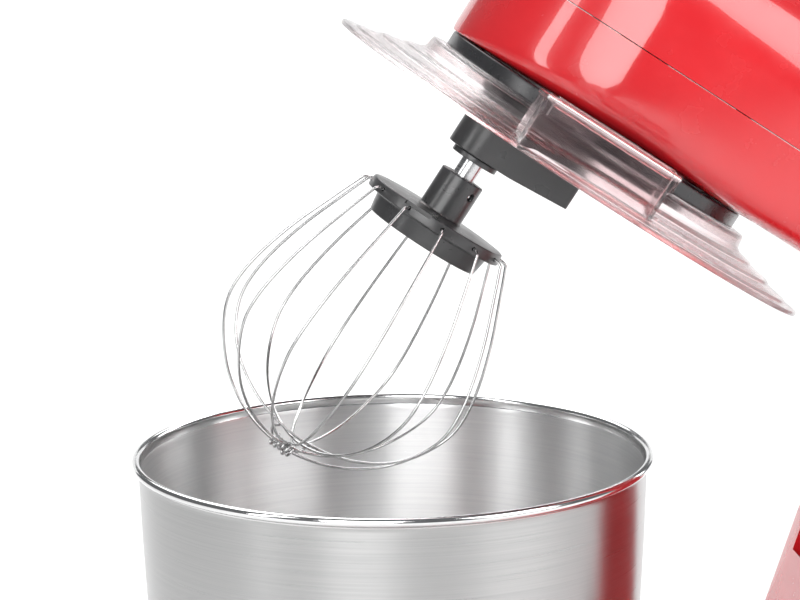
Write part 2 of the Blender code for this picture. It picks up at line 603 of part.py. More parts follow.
# ---------------------------------------------------------------- splash guard
CHUTE_X, CHUTE_HALF = -0.0155, 0.032  # middle and half of its width
CHUTE_NEAR, CHUTE_FAR = -0.1000, -0.0820
CHUTE_BOTTOM, CHUTE_TOP = 0.2035, 0.2245
CHUTE_WALL = 0.0018
FLAP_PIN_Y, FLAP_PIN_Z = CHUTE_NEAR - 0.0022, CHUTE_TOP + 0.0015
EAR_IN, EAR_OUT = 0.0285, 0.0315  # the flap's barrel turns between two ears


def splash_guard(frame, clear):
    """A shallow clear ring that hangs from the trim ring, with a filling chute on the user's side."""
    sheet, step = 0.0020, 0.0006
    profile = [(GUARD_R, GUARD_Z), (GUARD_R, GUARD_Z + sheet), (0.1090, GUARD_Z + sheet + step),
               (0.0810, 0.2105), (0.0790, 0.2125), (0.0780, 0.2190), (0.0722, 0.2190), (0.0722, 0.2175),
               (0.0762, 0.2170), (0.0772, 0.2110), (0.0795, 0.2085), (0.1085, GUARD_Z)]
    made = piece("splash_guard", turned(profile, 40, ring=True), clear, frame)
    left, right = CHUTE_X - CHUTE_HALF, CHUTE_X + CHUTE_HALF
    change(made, "UNION", box((left, CHUTE_NEAR, CHUTE_BOTTOM), (right, CHUTE_FAR, CHUTE_TOP)))
    for side in (-1, 1):
        low, high = sorted((CHUTE_X + side * EAR_IN, CHUTE_X + side * EAR_OUT))
        foot = box((low, FLAP_PIN_Y - 0.0022, CHUTE_TOP - 0.0050),
                   (high, CHUTE_NEAR + 0.0010, CHUTE_TOP - 0.0004))
        ear = box((low, FLAP_PIN_Y - 0.0021, CHUTE_TOP - 0.0010),
                  (high, FLAP_PIN_Y + 0.0019, FLAP_PIN_Z + 0.0019))
        change(made, "UNION", foot)
        change(made, "UNION", ear)
    hollow = box((left + CHUTE_WALL, CHUTE_NEAR + CHUTE_WALL, 0.19),
                 (right - CHUTE_WALL, CHUTE_FAR - CHUTE_WALL, 0.23))
    change(made, "DIFFERENCE", hollow)
    pin_hole = rod(0.0013, -0.04, 0.04, 10)
    change(made, "DIFFERENCE", pin_hole, (CHUTE_X, FLAP_PIN_Y, FLAP_PIN_Z), (0, math.pi / 2, 0))
    return made


def guard_flap(axis, clear, steel):
    """The chute's lid. Its origin is on the pin that it swings up about."""
    across = (0, math.pi / 2, 0)
    depth = CHUTE_FAR - FLAP_PIN_Y
    under, top = -0.0010, 0.0008
    lid = box((-CHUTE_HALF - 0.0005, 0.0030, under), (CHUTE_HALF + 0.0005, depth, top))
    made = piece("guard_flap", lid, clear, axis)
    barrel = EAR_IN - 0.0005
    change(made, "UNION", rod(0.0023, -barrel, barrel, 14), rotation=across)
    change(made, "UNION", box((0.0005 - barrel, 0.0, under), (barrel - 0.0005, 0.0040, top)))
    tab = box((-0.0080, depth - 0.0020, under + 0.0002), (0.0080, depth + 0.0035, top + 0.0004))
    change(made, "UNION", tab)
    change(made, "DIFFERENCE", rod(0.0012, -0.04, 0.04, 10), rotation=across)
    piece("flap_pin", rod(0.0009, -EAR_OUT - 0.0006, EAR_OUT + 0.0006, 8), steel, axis, rotation=across)


# ---------------------------------------------------------------- the whole mixer
def build():
    clear_scene()
    red = material("red_enamel", (0.55, 0.012, 0.02), 0.22)
    black = material("black_plastic", (0.035, 0.035, 0.037), 0.42)
    rubber = material("rubber", (0.03, 0.03, 0.03), 0.8)
    chrome = material("chrome", (0.8, 0.8, 0.82), 0.12, 1.0)
    steel = material("steel", (0.62, 0.62, 0.63), 0.28, 1.0)
    cast = material("cast_aluminium", (0.5, 0.5, 0.51), 0.5, 1.0)
    copper = material("copper", (0.72, 0.36, 0.2), 0.4, 1.0)
    nylon = material("nylon", (0.8, 0.78, 0.72), 0.5)
    green = material("circuit_board", (0.03, 0.2, 0.08), 0.5)
    clear = material("clear_plastic", (0.9, 0.92, 0.92), 0.05, 0.0, 0.3)

    machine = empty("machine", None, (-BOX_MIDDLE, 0, 0))
    base_shell(machine, red)
    base_fittings(machine, black, rubber, chrome, steel, green, clear)
    speed_knob(machine, black)
    latch(machine, black, steel)
    bowl(machine, steel)

    hinge = empty("head_hinge", machine, (HINGE_X, 0, HINGE_Z), (0, TILT, 0))
    frame = empty("head_frame", hinge, (-HINGE_X, 0, -HINGE_Z))
    head_casing(frame, red, black)
    gear_frame(frame, cast)
    bearings(frame, steel)
    ring_gear(frame, cast)
    motor_stator(frame, steel, black, copper)
    drive_belt(frame, rubber)
    rotor(empty("motor_axis", frame, (MOTOR_X, 0, 0)), steel, black, copper)
    idler(empty("idler_axis", frame, (IDLER_X, 0, 0)), steel, black, nylon)
    planet_axis = empty("planet_axis", frame)
    planet(planet_axis, steel, black, nylon)
    tool_axis = empty("tool_axis", planet_axis, (-ORBIT, 0, 0))
    spindle(tool_axis, steel, nylon)
    whisk(tool_axis, black, steel)
    splash_guard(frame, clear)
    guard_flap(empty("flap_axis", frame, (CHUTE_X, FLAP_PIN_Y, FLAP_PIN_Z)), clear, steel)


build()
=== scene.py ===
"""The looks of a tilt-head stand mixer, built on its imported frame.

The head's pieces are made with the head lowered, in metres from the bowl's axis at table height, and the
matrix HEAD then turns them up about the hinge. The base's pieces use the same origin through BASE.
"""

import json
import math

import bmesh
import bpy
from mathutils import Matrix, Vector


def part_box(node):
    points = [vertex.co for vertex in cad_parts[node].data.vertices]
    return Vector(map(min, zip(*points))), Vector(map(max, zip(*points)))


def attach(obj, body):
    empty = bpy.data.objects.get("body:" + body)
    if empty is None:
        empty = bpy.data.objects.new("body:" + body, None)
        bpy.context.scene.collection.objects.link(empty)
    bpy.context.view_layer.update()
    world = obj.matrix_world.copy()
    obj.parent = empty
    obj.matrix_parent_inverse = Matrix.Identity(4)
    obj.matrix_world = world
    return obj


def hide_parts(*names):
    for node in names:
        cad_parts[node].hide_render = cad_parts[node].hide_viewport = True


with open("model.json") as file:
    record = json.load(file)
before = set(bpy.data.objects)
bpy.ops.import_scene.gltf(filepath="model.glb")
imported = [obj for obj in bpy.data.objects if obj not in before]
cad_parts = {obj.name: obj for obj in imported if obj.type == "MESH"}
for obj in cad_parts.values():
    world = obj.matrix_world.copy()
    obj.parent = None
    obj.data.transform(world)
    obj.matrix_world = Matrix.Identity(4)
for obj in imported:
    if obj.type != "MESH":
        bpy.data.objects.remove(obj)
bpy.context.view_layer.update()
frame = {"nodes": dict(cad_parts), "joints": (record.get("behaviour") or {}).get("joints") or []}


# ---------------------------------------------------------------- places taken from the frame
def middle(node):
    low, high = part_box(node)
    return (low + high) / 2


JOINTS = {joint["name"]: joint for joint in frame["joints"]}
BOWL_AXIS = Vector((middle("bowl").x, 0, 0))
HINGE = Vector(JOINTS["head_tilt"]["pos_m"])
HEAD_UP = Vector(JOINTS["planet_spin"]["axis"])
TILT = math.atan2(HEAD_UP.x, HEAD_UP.z)
BASE = Matrix.Translation(BOWL_AXIS)
HEAD = Matrix.Translation(HINGE) @ Matrix.Rotation(TILT, 4, "Y") @ Matrix.Translation(BOWL_AXIS - HINGE)


def in_head(joint):
    """A joint's place in the head's own coordinates."""
    return HEAD.inverted() @ Vector(JOINTS[joint]["pos_m"])


def in_base(joint):
    """A joint's place in the base's own coordinates."""
    return BASE.inverted() @ Vector(JOINTS[joint]["pos_m"])


def head_box(node):
    """A node's lowest and highest corners in the head's own coordinates."""
    turn = HEAD.inverted()
    points = [turn @ vertex.co for vertex in frame["nodes"][node].data.vertices]
    low = Vector([min(point[k] for point in points) for k in range(3)])
    high = Vector([max(point[k] for point in points) for k in range(3)])
    return low, high


HINGE_X, HINGE_Z = HINGE.x - BOWL_AXIS.x, HINGE.z
RIM_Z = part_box("bowl")[1].z
FLOOR_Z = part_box("bowl")[0].z
BASE_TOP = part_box("bowl_socket")[0].z - 0.0003
FEET = ("foot_front_near", "foot_front_far", "foot_rear_near", "foot_rear_far")
ORBIT = -in_head("tool_spin").x
HUB_HEIGHT = 0.0190
FLANGE_Z = head_box("whisk_hub")[1].z - HUB_HEIGHT
TOOL = HEAD @ Matrix.Translation((-ORBIT, 0, FLANGE_Z))

# the shape's own sizes
BOWL_R = (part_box("bowl")[1].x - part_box("bowl")[0].x) / 2
GUARD_R = head_box("splash_guard")[1].y
HEAD_R = 0.0738
HEAD_FLOOR = 0.2257
TRIM_BOTTOM = 0.2187
PARTING_Z, PARTING_GAP = 0.2618, 0.0004
BARREL_R, BARREL_HALF = 0.036, 0.0384
CHEEK_FACE = 0.055
BOSS_R = 0.0139
WIRE_R = 0.00062


# ---------------------------------------------------------------- mesh tools
def finished(bm):
    """The mesh of an edit mesh, with every face turned outwards."""
    bmesh.ops.recalc_face_normals(bm, faces=bm.faces)
    mesh = bpy.data.meshes.new("mesh")
    bm.to_mesh(mesh)
    bm.free()
    return mesh


def lofted(rings, cyclic=False):
    """A closed mesh through rings of points; the end rings are filled, or joined to each other."""
    bm = bmesh.new()
    rows = [[bm.verts.new(point) for point in ring] for ring in rings]
    pairs = list(zip(rows, rows[1:]))
    if cyclic:
        pairs.append((rows[-1], rows[0]))
    for lower, upper in pairs:
        for i in range(len(lower)):
            j = (i + 1) % len(lower)
            bm.faces.new((lower[i], lower[j], upper[j], upper[i]))
    if not cyclic:
        bm.faces.new(rows[0])
        bm.faces.new(rows[-1])
    return finished(bm)


def turned(profile, sides=128, ring=False):
    """A profile of (radius, height) points turned about Z; ring joins its last point to its first."""
    angles = [math.tau * k / sides for k in range(sides)]
    return lofted([[(r * math.cos(a), r * math.sin(a), z) for a in angles] for r, z in profile], cyclic=ring)


def prism(outline, bottom, top):
    return lofted([[(x, y, z) for x, y in outline] for z in (bottom, top)])


def box(low, high):
    (x0, y0, z0), (x1, y1, z1) = low, high
    return prism([(x0, y0), (x1, y0), (x1, y1), (x0, y1)], z0, z1)


def rod(radius, bottom, top, sides=48):
    return turned([(radius, bottom), (radius, top)], sides)


def rounded(points, radius, steps=5, closed=True):
    """The outline with each corner eased; a point's third value, if it has one, is its own radius."""
    smooth = []
    count = len(points)
    for k, point in enumerate(points):
        here = Vector(point[:2])
        own = point[2] if len(point) > 2 else radius
        if own == 0 or (not closed and k in (0, count - 1)):
            smooth.append(tuple(here))
            continue
        before = Vector(points[k - 1][:2]) - here
        after = Vector(points[(k + 1) % count][:2]) - here
        cut = min(own, 0.48 * before.length, 0.48 * after.length)
        start, end = here + before.normalized() * cut, here + after.normalized() * cut
        for i in range(steps + 1):
            t = i / steps
            smooth.append(tuple(start * (1 - t) ** 2 + here * 2 * t * (1 - t) + end * t**2))
    return smooth


def hull_outline(circles, points=160):
    """The outline round circles (x, y, radius), as a stretched band would lie."""
    outline = []
    for k in range(points):
        angle = math.tau * k / points
        cos, sin = math.cos(angle), math.sin(angle)
        x, y, radius = max(circles, key=lambda c: c[0] * cos + c[1] * sin + c[2])
        outline.append((x + radius * cos, y + radius * sin))
    return outline


def curve_through(rows, steps):
    """A Catmull-Rom curve through rows of numbers, with equal steps in each stretch."""
    path = []
    for k in range(len(rows) - 1):
        a, b, c, d = rows[max(k - 1, 0)], rows[k], rows[k + 1], rows[min(k + 2, len(rows) - 1)]
        for i in range(steps):
            t = i / steps
            path.append(tuple(
                0.5 * (2 * q + (r - p) * t + (2 * p - 5 * q + 4 * r - s) * t**2
                       + (3 * q - p - 3 * r + s) * t**3)
                for p, q, r, s in zip(a, b, c, d)))
    path.append(tuple(rows[-1]))
    return path


def inset(circles, amount):
    """The same circles, each smaller by the amount."""
    return [(x, y, r - amount) for x, y, r in circles]


def eased_prism(circles, bottom, top, ease, points=160, steps=5):
    """A prism round circles (x, y, radius) whose top and bottom edges are rounded."""
    rings = []
    for edge, way in ((bottom, 1), (top, -1)):
        stack = []
        for k in range(steps + 1):
            angle = math.pi / 2 * k / steps
            pull, rise = ease * (1 - math.sin(angle)), ease * (1 - math.cos(angle))
            outline = hull_outline(inset(circles, pull), points)
            stack.append([(x, y, edge + way * rise) for x, y in outline])
        rings += stack if way > 0 else stack[::-1]
    return lofted(rings)


# ---------------------------------------------------------------- objects
def shown(name, mesh, finish, body, matrix, replaces=(), sharp=38, baked=False):
    """A named piece of the mesh, in place, riding on its body; baked puts its place into its vertices."""
    made = bpy.data.objects.new(name, mesh)
    bpy.context.scene.collection.objects.link(made)
    if baked:
        mesh.transform(matrix)
    else:
        made.matrix_world = matrix
    if finish and not mesh.materials:
        mesh.materials.append(finish)
    mesh.shade_smooth()
    mesh.set_sharp_from_angle(angle=math.radians(sharp))
    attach(made, body)
    if replaces:
        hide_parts(*replaces)
    return made


def shaped(mesh, *steps, bevel=0.0, bevel_angle=45, segments=3, thickness=0.0):
    """The mesh after Boolean steps of (operation, mesh, matrix), an inward shell and a bevel."""
    body = bpy.data.objects.new("work", mesh)
    helpers = []
    bpy.context.scene.collection.objects.link(body)
    if thickness:
        shell = body.modifiers.new("shell", "SOLIDIFY")
        shell.thickness = thickness
        shell.offset = -1.0
        shell.use_even_offset = True
    for operation, other, matrix in steps:
        helper = bpy.data.objects.new("helper", other)
        bpy.context.scene.collection.objects.link(helper)
        helper.matrix_world = matrix
        helpers.append(helper)
        step = body.modifiers.new(operation.lower(), "BOOLEAN")
        step.operation = operation
        step.object = helper
    if bevel:
        ease = body.modifiers.new("bevel", "BEVEL")
        ease.width = bevel
        ease.segments = segments
        ease.limit_method = "ANGLE"
        ease.angle_limit = math.radians(bevel_angle)
        ease.harden_normals = False
    bpy.context.view_layer.update()
    ready = body.evaluated_get(bpy.context.evaluated_depsgraph_get())
    made = bpy.data.meshes.new_from_object(ready)
    for thing in [body] + helpers:
        bpy.data.objects.remove(thing)
    return made


def half_of(mesh, height, keep_above):
    """What of the mesh lies above or below a height, open where it is cut."""
    bm = bmesh.new()
    bm.from_mesh(mesh)
    everything = bm.verts[:] + bm.edges[:] + bm.faces[:]
    bmesh.ops.bisect_plane(bm, geom=everything, plane_co=(0, 0, height), plane_no=(0, 0, 1),
                           clear_inner=keep_above, clear_outer=not keep_above)
    made = bpy.data.meshes.new("half")
    bm.to_mesh(made)
    bm.free()
    return made


def wire_mesh(path, radius, sides=12):
    """A round wire along a list of points, with its ends closed."""
    points = [Vector(point) for point in path]
    rings = []
    side = None
    for k, point in enumerate(points):
        along = (points[min(k + 1, len(points) - 1)] - points[max(k - 1, 0)]).normalized()
        side = along.orthogonal() if side is None else side - along * side.dot(along)
        side.normalize()
        across = along.cross(side)
        rings.append([point + radius * (math.cos(a) * side + math.sin(a) * across)
                      for a in (math.tau * i / sides for i in range(sides))])
    return lofted(rings)


AT = Matrix.Identity(4)  # where the mesh is already in place
QUARTER = Matrix.Rotation(math.pi / 2, 4, "X")  # an axis along Z turns to point at the user, along -Y
FAR = Matrix.Rotation(-math.pi / 2, 4, "X")  # the same, to point away from the user
ACROSS = Matrix.Rotation(math.pi / 2, 4, "Y")


def moved(x=0.0, y=0.0, z=0.0):
    return Matrix.Translation((x, y, z))


# ---------------------------------------------------------------- materials
ACROSS_SCRATCHES = 0.25  # highlights on brushed metal stretch across scratches that run round the axis


def surface(name, colour, roughness, metallic=0.0, **sockets):
    """A Principled material. Other sockets are given by name, with _ for a space."""
    made = bpy.data.materials.new(name)
    made.use_nodes = True
    shader = made.node_tree.nodes["Principled BSDF"]
    shader.inputs["Base Color"].default_value = (*colour, 1.0)
    shader.inputs["Roughness"].default_value = roughness
    shader.inputs["Metallic"].default_value = metallic
    for key, value in sockets.items():
        shader.inputs[key.replace("_", " ")].default_value = value
    return made


def node(material, kind, **values):
    made = material.node_tree.nodes.new(kind)
    for key, value in values.items():
        setattr(made, key, value)
    return made


def join(material, start, end):
    material.node_tree.links.new(start, end)


def place(material):
    return node(material, "ShaderNodeTexCoord").outputs["Object"]


def noise(material, scale, source=None, detail=4.0, roughness=0.55):
    made = node(material, "ShaderNodeTexNoise")
    made.inputs["Scale"].default_value = scale
    made.inputs["Detail"].default_value = detail
    made.inputs["Roughness"].default_value = roughness
    join(material, source or place(material), made.inputs["Vector"])
    return made.outputs["Fac"]


def stretched(material, factors, source=None):
    made = node(material, "ShaderNodeMapping")
    made.inputs["Scale"].default_value = factors
    join(material, source or place(material), made.inputs["Vector"])
    return made.outputs["Vector"]


def ranged(material, source, low, high, start=0.3, end=0.7):
    made = node(material, "ShaderNodeMapRange")
    join(material, source, made.inputs["Value"])
    made.inputs["From Min"].default_value = start
    made.inputs["From Max"].default_value = end
    made.inputs["To Min"].default_value = low
    made.inputs["To Max"].default_value = high
    return made.outputs["Result"]


def tint(material, source, first, second, start=0.3, end=0.7):
    """Colours the base between two colours by the source."""
    made = node(material, "ShaderNodeMix", data_type="RGBA")
    join(material, ranged(material, source, 0.0, 1.0, start, end), made.inputs["Factor"])
    made.inputs["A"].default_value = (*first, 1.0)
    made.inputs["B"].default_value = (*second, 1.0)
    join(material, made.outputs["Result"], material.node_tree.nodes["Principled BSDF"].inputs["Base Color"])
    return made.outputs["Result"]


def roughen(material, source, low, high):
    target = material.node_tree.nodes["Principled BSDF"].inputs["Roughness"]
    join(material, ranged(material, source, low, high), target)


def bump(material, source, distance, strength=1.0):
    made = node(material, "ShaderNodeBump")
    made.inputs["Strength"].default_value = strength
    made.inputs["Distance"].default_value = distance
    join(material, source, made.inputs["Height"])
    join(material, made.outputs["Normal"], material.node_tree.nodes["Principled BSDF"].inputs["Normal"])


def edges(material):
    """How convex the surface is, for a painted highlight along convex edges."""
    return node(material, "ShaderNodeNewGeometry").outputs["Pointiness"]


def round_axis(material, around=18.0, along=2400.0):
    """A place for streaks that run round the object's Z axis, on its wall and on its floor alike."""
    split = node(material, "ShaderNodeSeparateXYZ")
    join(material, place(material), split.inputs["Vector"])
    flat = node(material, "ShaderNodeCombineXYZ")
    join(material, split.outputs["X"], flat.inputs["X"])
    join(material, split.outputs["Y"], flat.inputs["Y"])
    radius = node(material, "ShaderNodeVectorMath", operation="LENGTH")
    join(material, flat.outputs["Vector"], radius.inputs[0])
    total = node(material, "ShaderNodeMath", operation="ADD")
    join(material, radius.outputs["Value"], total.inputs[0])
    join(material, split.outputs["Z"], total.inputs[1])
    rebuilt = node(material, "ShaderNodeCombineXYZ")
    join(material, split.outputs["X"], rebuilt.inputs["X"])
    join(material, split.outputs["Y"], rebuilt.inputs["Y"])
    join(material, total.outputs["Value"], rebuilt.inputs["Z"])
    return stretched(material, (around, around, along), rebuilt.outputs["Vector"])


def spin_tangent(material):
    """Scratches run round the object's Z axis."""
    tangent = node(material, "ShaderNodeTangent", direction_type="RADIAL", axis="Z")
    join(material, tangent.outputs["Tangent"], material.node_tree.nodes["Principled BSDF"].inputs["Tangent"])


def red_enamel():
    made = surface("red_enamel", (0.58, 0.012, 0.018), 0.22, Coat_Weight=1.0, Coat_Roughness=0.03)
    tint(made, noise(made, 9.0), (0.50, 0.008, 0.013), (0.64, 0.016, 0.022))
    roughen(made, noise(made, 55.0), 0.18, 0.30)
    bump(made, noise(made, 700.0, detail=2.0), 0.00003)
    return made


def black_plastic(name="black_plastic", colour=(0.038, 0.038, 0.039), gloss=0.30, grain=2600.0):
    made = surface(name, colour, gloss, IOR=1.6)
    # painted highlight: convex edges get a lighter colour, standing in for light caught along them
    tint(made, edges(made), colour, tuple(1.9 * part for part in colour), 0.52, 0.60)
    roughen(made, noise(made, 90.0), gloss - 0.05, gloss + 0.07)
    bump(made, noise(made, grain, detail=3.0), 0.00001, 0.6)
    return made


def rubber():
    made = surface("rubber", (0.022, 0.022, 0.023), 0.8)
    tint(made, noise(made, 60.0), (0.018, 0.018, 0.019), (0.034, 0.034, 0.034))
    roughen(made, noise(made, 150.0), 0.68, 0.92)
    bump(made, noise(made, 1500.0), 0.00006)
    return made


def brushed_inside():
    """Long fine scratches round the wall, as a polishing belt leaves them."""
    made = surface("bowl_inside_steel", (0.66, 0.66, 0.66), 0.3, 1.0, Anisotropic=0.85,
                   Anisotropic_Rotation=ACROSS_SCRATCHES)
    fine = noise(made, 1.0, round_axis(made, 30.0, 5200.0), detail=5.0, roughness=0.65)
    broad = noise(made, 1.0, round_axis(made, 14.0, 1100.0), detail=3.0)
    tint(made, broad, (0.77, 0.77, 0.775), (0.84, 0.84, 0.835))
    roughen(made, fine, 0.27, 0.37)
    bump(made, fine, 0.000005, 0.5)
    spin_tangent(made)
    return made


def shaded_satin_outside():
    made = surface("bowl_outside_steel", (0.5, 0.5, 0.5), 0.3, 1.0, Anisotropic=0.8,
                   Anisotropic_Rotation=ACROSS_SCRATCHES)
    fine = noise(made, 1.0, round_axis(made, 12.0, 1500.0), detail=4.0)
    # painted shade: the outside gets a darker colour than the same steel inside, standing in for the dimmer
    # light it reflects; its satin streaks and roughness are real
    tint(made, fine, (0.43, 0.43, 0.43), (0.50, 0.50, 0.495))
    roughen(made, fine, 0.27, 0.36)
    bump(made, fine, 0.000004, 0.4)
    spin_tangent(made)
    return made


def polished(name="polished_steel", colour=(0.80, 0.80, 0.80), roughness=0.09):
    made = surface(name, colour, roughness, 1.0)
    tint(made, noise(made, 70.0), tuple(0.94 * part for part in colour), colour)
    roughen(made, noise(made, 130.0), 0.7 * roughness, 1.8 * roughness)
    bump(made, noise(made, 500.0, detail=2.0), 0.000006)
    return made


def drawn_wire():
    """Wire with the dull patches that drawing leaves."""
    made = surface("drawn_wire", (0.56, 0.56, 0.56), 0.2, 1.0)
    tint(made, noise(made, 120.0), (0.48, 0.48, 0.48), (0.64, 0.64, 0.64))
    roughen(made, noise(made, 260.0), 0.15, 0.28)
    return made


def ground_steel():
    made = surface("ground_steel", (0.62, 0.62, 0.63), 0.28, 1.0, Anisotropic=0.5,
                   Anisotropic_Rotation=ACROSS_SCRATCHES)
    fine = noise(made, 1.0, round_axis(made, 40.0, 6000.0), detail=3.0)
    roughen(made, fine, 0.18, 0.36)
    tint(made, fine, (0.52, 0.52, 0.53), (0.70, 0.70, 0.70))
    bump(made, fine, 0.00001)
    spin_tangent(made)
    return made


def clear_plastic():
    """Thin clear moulding, with pink patches painted in for the red head seen through it, and the haze of
    use.
    """
    made = surface("clear_plastic", (0.93, 0.87, 0.87), 0.1, Transmission_Weight=1.0, IOR=1.22, Alpha=0.9)
    roughen(made, noise(made, 30.0), 0.12, 0.24)
    # painted light: the pinker patches stand in for the red head seen through the sheet, over the plastic's
    # own pale colour
    tint(made, noise(made, 26.0), (0.90, 0.76, 0.77), (0.93, 0.89, 0.89))
    bump(made, noise(made, 45.0, detail=2.0), 0.00001, 0.4)
    return made


def lit_lens():
    made = surface("light_lens", (0.55, 0.75, 0.95), 0.12, Transmission_Weight=0.6, IOR=1.49,
                   Emission_Strength=0.35)
    made.node_tree.nodes["Principled BSDF"].inputs["Emission Color"].default_value = (0.35, 0.65, 1.0, 1.0)
    tint(made, noise(made, 300.0), (0.50, 0.70, 0.92), (0.60, 0.80, 0.98))
    return made


def cast_metal():
    made = surface("cast_aluminium", (0.48, 0.48, 0.49), 0.5, 1.0)
    tint(made, noise(made, 45.0), (0.40, 0.40, 0.41), (0.56, 0.56, 0.57))
    roughen(made, noise(made, 260.0), 0.42, 0.66)
    bump(made, noise(made, 1100.0), 0.00010)
    return made


def copper_winding():
    made = surface("copper_winding", (0.70, 0.32, 0.16), 0.32, 1.0)
    bands = node(made, "ShaderNodeTexWave", wave_type="BANDS", bands_direction="Z")
    bands.inputs["Scale"].default_value = 900.0
    bands.inputs["Distortion"].default_value = 1.5
    join(made, place(made), bands.inputs["Vector"])
    tint(made, bands.outputs["Fac"], (0.40, 0.16, 0.07), (0.82, 0.42, 0.22), 0.1, 0.9)
    bump(made, bands.outputs["Fac"], 0.0002)
    return made


def nylon():
    made = surface("nylon", (0.78, 0.75, 0.68), 0.45, Subsurface_Weight=0.1)
    tint(made, noise(made, 80.0), (0.72, 0.69, 0.61), (0.82, 0.80, 0.73))
    roughen(made, noise(made, 300.0), 0.36, 0.56)
    bump(made, noise(made, 900.0), 0.00004)
    return made


def circuit_board():
    made = surface("circuit_board", (0.02, 0.16, 0.07), 0.4)
    cells = node(made, "ShaderNodeTexVoronoi", feature="DISTANCE_TO_EDGE", distance="MANHATTAN")
    cells.inputs["Scale"].default_value = 240.0
    join(made, place(made), cells.inputs["Vector"])
    tint(made, cells.outputs["Distance"], (0.30, 0.34, 0.12), (0.015, 0.14, 0.06), 0.02, 0.05)
    bump(made, cells.outputs["Distance"], 0.00004)
    return made


def white_print():
    made = surface("white_print", (0.82, 0.82, 0.80), 0.5)
    tint(made, noise(made, 400.0), (0.76, 0.76, 0.74), (0.86, 0.86, 0.84))
    bump(made, noise(made, 1500.0), 0.00003)
    return made


RED = red_enamel()
BLACK = black_plastic()
BAND = black_plastic("band_plastic", (0.022, 0.022, 0.024), 0.26, 3200.0)
RUBBER = rubber()
INSIDE = brushed_inside()
OUTSIDE = shaded_satin_outside()
POLISHED = polished()
CHROME = polished("chrome", (0.86, 0.86, 0.87), 0.05)
WIRE = drawn_wire()
STEEL = ground_steel()
CLEAR = clear_plastic()
LENS = lit_lens()
CAST = cast_metal()
COPPER = copper_winding()
NYLON = nylon()
BOARD = circuit_board()
PRINT = white_print()


# ---------------------------------------------------------------- bowl
def bowl():
    """Spun steel: a pressed foot, a wide corner, a wall that leans out a little and a rolled rim."""
    wall, floor = 0.0012, FLOOR_Z + 0.0052
    corner_r, corner_x, corner_turn = 0.046, 0.0575, 78
    wall_top, bead = BOWL_R - 0.0030, 0.0019
    centre = corner_x, floor + corner_r
    arc = [math.radians(corner_turn * k / 16) for k in range(17)]
    foot = [(0.0006, floor, 0), (0.0435, floor), (0.0445, FLOOR_Z), (0.0475, FLOOR_Z), (0.0490, floor)]
    outer = rounded(foot, 0.0012, closed=False)
    outer += [(centre[0] + corner_r * math.sin(a), centre[1] - corner_r * math.cos(a)) for a in arc]
    lean = [outer[-1], (0.1072, RIM_Z - 0.050), (0.1086, RIM_Z - 0.018), (wall_top, RIM_Z - 0.0048)]
    outer += curve_through(lean, 4)[1:]
    turn = [math.radians(-100 + 310 * k / 20) for k in range(21)]
    rim = [(BOWL_R - bead + bead * math.cos(a), RIM_Z - bead + bead * math.sin(a)) for a in turn]
    rim = [point for point in rim if point[0] > wall_top - wall - 0.0002]
    inner = [(r - wall, z) for r, z in curve_through(lean, 4)[::-1]]
    inner += [(centre[0] + (corner_r - wall) * math.sin(a), centre[1] - (corner_r - wall) * math.cos(a))
              for a in arc[-2::-1]]
    inner += [(0.0480, floor + wall), (0.0006, floor + wall)]
    sides = 192
    mesh = turned(outer + rim + inner, sides)
    for finish in (OUTSIDE, POLISHED, INSIDE):
        mesh.materials.append(finish)
    for face in mesh.polygons:
        row = face.index // sides
        face.material_index = 0 if row < len(outer) - 1 else 1 if row < len(outer) + len(rim) else 2
    mesh.polygons[-1].material_index = 2
    mesh.polygons[-2].material_index = 0
    shown("mixing_bowl", mesh, None, "bowl", BASE, ("bowl",), sharp=60)


# ---------------------------------------------------------------- whisk
WIRE_HOLE_Z = -0.0025
WIRE_SIDE = [(0.0260, WIRE_HOLE_Z), (0.0330, WIRE_HOLE_Z), (0.0358, -0.0032), (0.0372, -0.0056),
             (0.0425, -0.0180), (0.0493, -0.0345), (0.0545, -0.0510), (0.0572, -0.0660),
             (0.0562, -0.0790), (0.0490, -0.0930), (0.0370, -0.1065), (0.0200, -0.1163)]
TIP_Z, LIFT_FROM, LOOP_STEP, LOOPS = -0.1200, -0.0900, 0.0014, 6
WHISK_TURN = math.radians(-4)
PIN_HEIGHT, PIN_TURN = 0.0135, math.radians(-53)
NOTCH_TURN = math.radians(-118)
BINDING_R = 0.0006


def loop_path(k):
    """Loop k from one side of the hub, round under the tip, to the other side."""
    lift = LOOP_STEP * k
    side = [(r, z + lift * max(0.0, (z - LIFT_FROM) / (TIP_Z - LIFT_FROM))) for r, z in WIRE_SIDE]
    points = side + [(0, TIP_Z + lift)] + [(-r, z) for r, z in side[::-1]]
    turn = math.pi * k / LOOPS
    return [(r * math.cos(turn), r * math.sin(turn), z) for r, z in curve_through(points, 6)]


def binding_path():
    """The wire wound round the lowest loop at the tip, with its two loose ends."""
    turns, steps = 5, 24
    slope = 0.9 * (WIRE_SIDE[-1][1] - TIP_Z) / WIRE_SIDE[-1][0]
    coil = []
    for k in range(turns * steps + 1):
        share = k / (turns * steps)
        out = 0.0110 * share - 0.0030
        wind_r = 0.0024 - 0.0004 * math.cos(11 * share)
        angle = math.tau * k / steps
        height = TIP_Z + slope * abs(out) + wind_r * math.sin(angle)
        coil.append((-out, wind_r * math.cos(angle), height))
    near = [(0.0078, 0.0016, TIP_Z + 0.0072), (0.0066, 0.0030, TIP_Z + 0.0036),
            (0.0046, 0.0030, TIP_Z + 0.0008), coil[0]]
    far = [coil[-1], (-0.0104, 0.0006, TIP_Z + 0.0052), (-0.0086, -0.0016, TIP_Z + 0.0078)]
    return curve_through(near, 6)[:-1] + coil + curve_through(far, 6)[1:]


